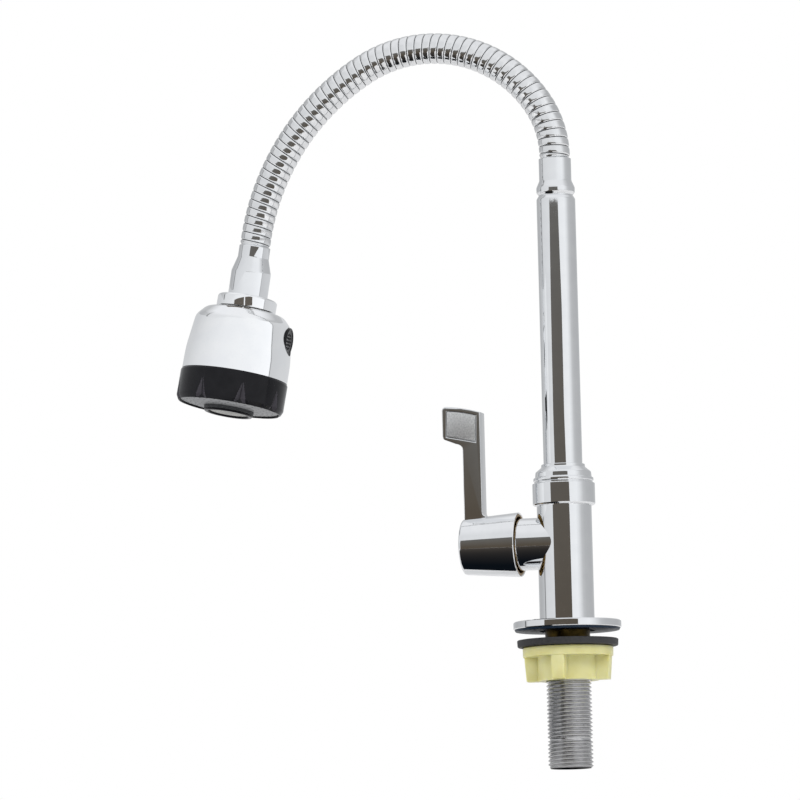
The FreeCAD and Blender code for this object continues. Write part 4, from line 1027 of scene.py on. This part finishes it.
def make_card(name, corners, low_colour, high_colour, spread, axis):
    """A card that only polished surfaces see; its corners are (right, towards the camera, height)."""
    right, back = level_axes()
    card = make_object(name, [right * x + back * y + Vector((0, 0, z)) for x, y, z in corners],
                       [tuple(range(len(corners)))], IN_PLACE, smooth=False)
    material, tree, _ = new_material(name)
    place = add_node(tree, "TexCoord", {}).outputs["Object"]
    station = add_node(tree, "SeparateXYZ", {"Vector": place}).outputs[axis]
    colour = blended(tree, ranged(tree, station, 0, 1, spread), low_colour, high_colour)
    show(tree, add_node(tree, "Emission", {"Color": colour}).outputs["Emission"])
    card.data.materials.append(material)
    only_reflected(card)


# Outline of the dark front that the polished pieces show: (right, height) from the tap's axis.
FRONT_OUTLINE = ((-520, -60), (-180, -60), (-150, 20), (165, 20), (161, 88), (105, 140), (126, 197),
                 (82, 236), (73, 249), (0, 248.5), (-150, 251.6), (-237, 256), (-365, 265), (-380, 255),
                 (-463, 218), (-537, 164), (-500, 110))
# How far before the tap's axis it stands, and the low card's corners: (right, towards the camera, height).
FRONT_BACK = 420
LOW_CARD = ((-520, 420, -61), (-540, -45, -61), (-25, -45, -61), (-25, 40, -61), (-180, 420, -61))

# Light wall round the spray head: its radius from the ball, the heights between which it stands, and its
# brightness by (degrees to the right of the camera, grey).
WALL_RADIUS = 70
WALL_HEIGHTS = (70, 182)
WALL = ((-165, 0.62), (-110, 0.66), (-75, 0.78), (-30, 0.9), (20, 0.96), (50, 1.02), (65.4, 1.05),
        (65.8, 0.3), (67.4, 0.3), (67.9, 0.64), (100, 0.68), (165, 0.7))
# The dark cards that the joint's ring shows: (right, towards the camera) from the ball, and their heights.
RING_CARDS = (((-8.4, 16.2), (-0.4, 16.2)), ((0.3, 16.2), (5.0, 16.2)))
RING_CARD_HEIGHTS = (158.0, 162.4)


def make_head_cards():
    """A light wall round the spray head, which only shines inwards, and two dark cards before its ring."""
    right, back = level_axes()
    middle = (BALL.dot(right), BALL.dot(back))
    for index, plan in enumerate(RING_CARDS):
        foot = [(middle[0] + across, middle[1] + forward) for across, forward in plan]
        low, high = RING_CARD_HEIGHTS
        corners = [(*foot[0], low), (*foot[1], low), (*foot[1], high), (*foot[0], high)]
        name = "card_ring_%d" % (index + 1)
        make_card(name, corners, (0.12, 0.105, 0.09), (0.14, 0.125, 0.11), (0, 1), "Z")

    vertices, faces, shades = [], [], []
    steps = 2 * int(WALL[-1][0] - WALL[0][0])
    for step in range(steps + 1):
        degrees = WALL[0][0] + (WALL[-1][0] - WALL[0][0]) * step / steps
        angle = math.radians(degrees)
        place = (right * (middle[0] + WALL_RADIUS * math.sin(angle))
                 + back * (middle[1] + WALL_RADIUS * math.cos(angle)))
        vertices += [place + Vector((0, 0, height)) for height in WALL_HEIGHTS]
        shades += [stepped(WALL, degrees)] * 2
        if step:
            faces.append((2 * step - 1, 2 * step + 1, 2 * step, 2 * step - 2))
    wall = make_object("card_wall", vertices, faces, IN_PLACE, smooth=False)
    colours = wall.data.color_attributes.new("shade", "FLOAT_COLOR", "POINT")
    for point, grey in zip(colours.data, shades):
        point.color = cool(grey)
    material, tree, _ = new_material("card_wall")
    shade = add_node(tree, "VertexColor", {}, layer_name="shade").outputs["Color"]
    show_one_side(tree, add_node(tree, "Emission", {"Color": shade}).outputs["Emission"])
    wall.data.materials.append(material)
    only_reflected(wall)


def stepped(table, degrees):
    """The table's grey at an angle, on a straight line between its two nearest rows."""
    for (before, low), (after, high) in zip(table, table[1:]):
        if degrees <= after:
            return low + (high - low) * (degrees - before) / (after - before)
    return table[-1][1]


def only_reflected(card):
    """Keeps a card out of the camera's view, the shadows and the even light."""
    card.visible_camera = False
    card.visible_diffuse = False
    card.visible_shadow = False
    card.visible_transmission = False


# Point in metres that the lamps shine at.
LAMP_TARGET = Vector((-0.05, 0, 0.1))


def make_lamp(name, place, size, power):
    """A soft square area lamp that shines at the tap."""
    data = bpy.data.lights.new(name, "AREA")
    data.shape = "RECTANGLE"
    data.size = data.size_y = size
    data.energy = power
    lamp = linked(name, data)
    lamp.location = place
    lamp.rotation_mode = "QUATERNION"
    lamp.rotation_quaternion = (LAMP_TARGET - Vector(place)).to_track_quat("-Z", "Y")
    lamp.visible_glossy = False


def make_studio():
    """World, floor, cards and lamps."""
    make_world()
    make_floor()
    make_card("card_front", [(across, FRONT_BACK, height) for across, height in FRONT_OUTLINE],
              (0.1, 0.083, 0.064), (0.145, 0.14, 0.132), (0.0, 0.25), "Z")
    make_card("card_low", LOW_CARD, (0.004, 0.006, 0.009), (0.06, 0.052, 0.045), (-0.02, -0.38), "Y")
    make_head_cards()
    make_lamp("key", (1.1, -1.3, 1.3), 0.9, 16)
    make_lamp("fill", (-1.6, -1.0, 0.9), 1.2, 9)
    make_lamp("back", (0.4, 1.7, 1.4), 1.2, 9)


make_camera()
dress_frame()
make_hose()
make_pillar()
make_tail()
make_clamp()
make_lever()
make_hose_end()
make_head()
make_studio()
bpy.context.scene.view_settings.view_transform = "Standard"
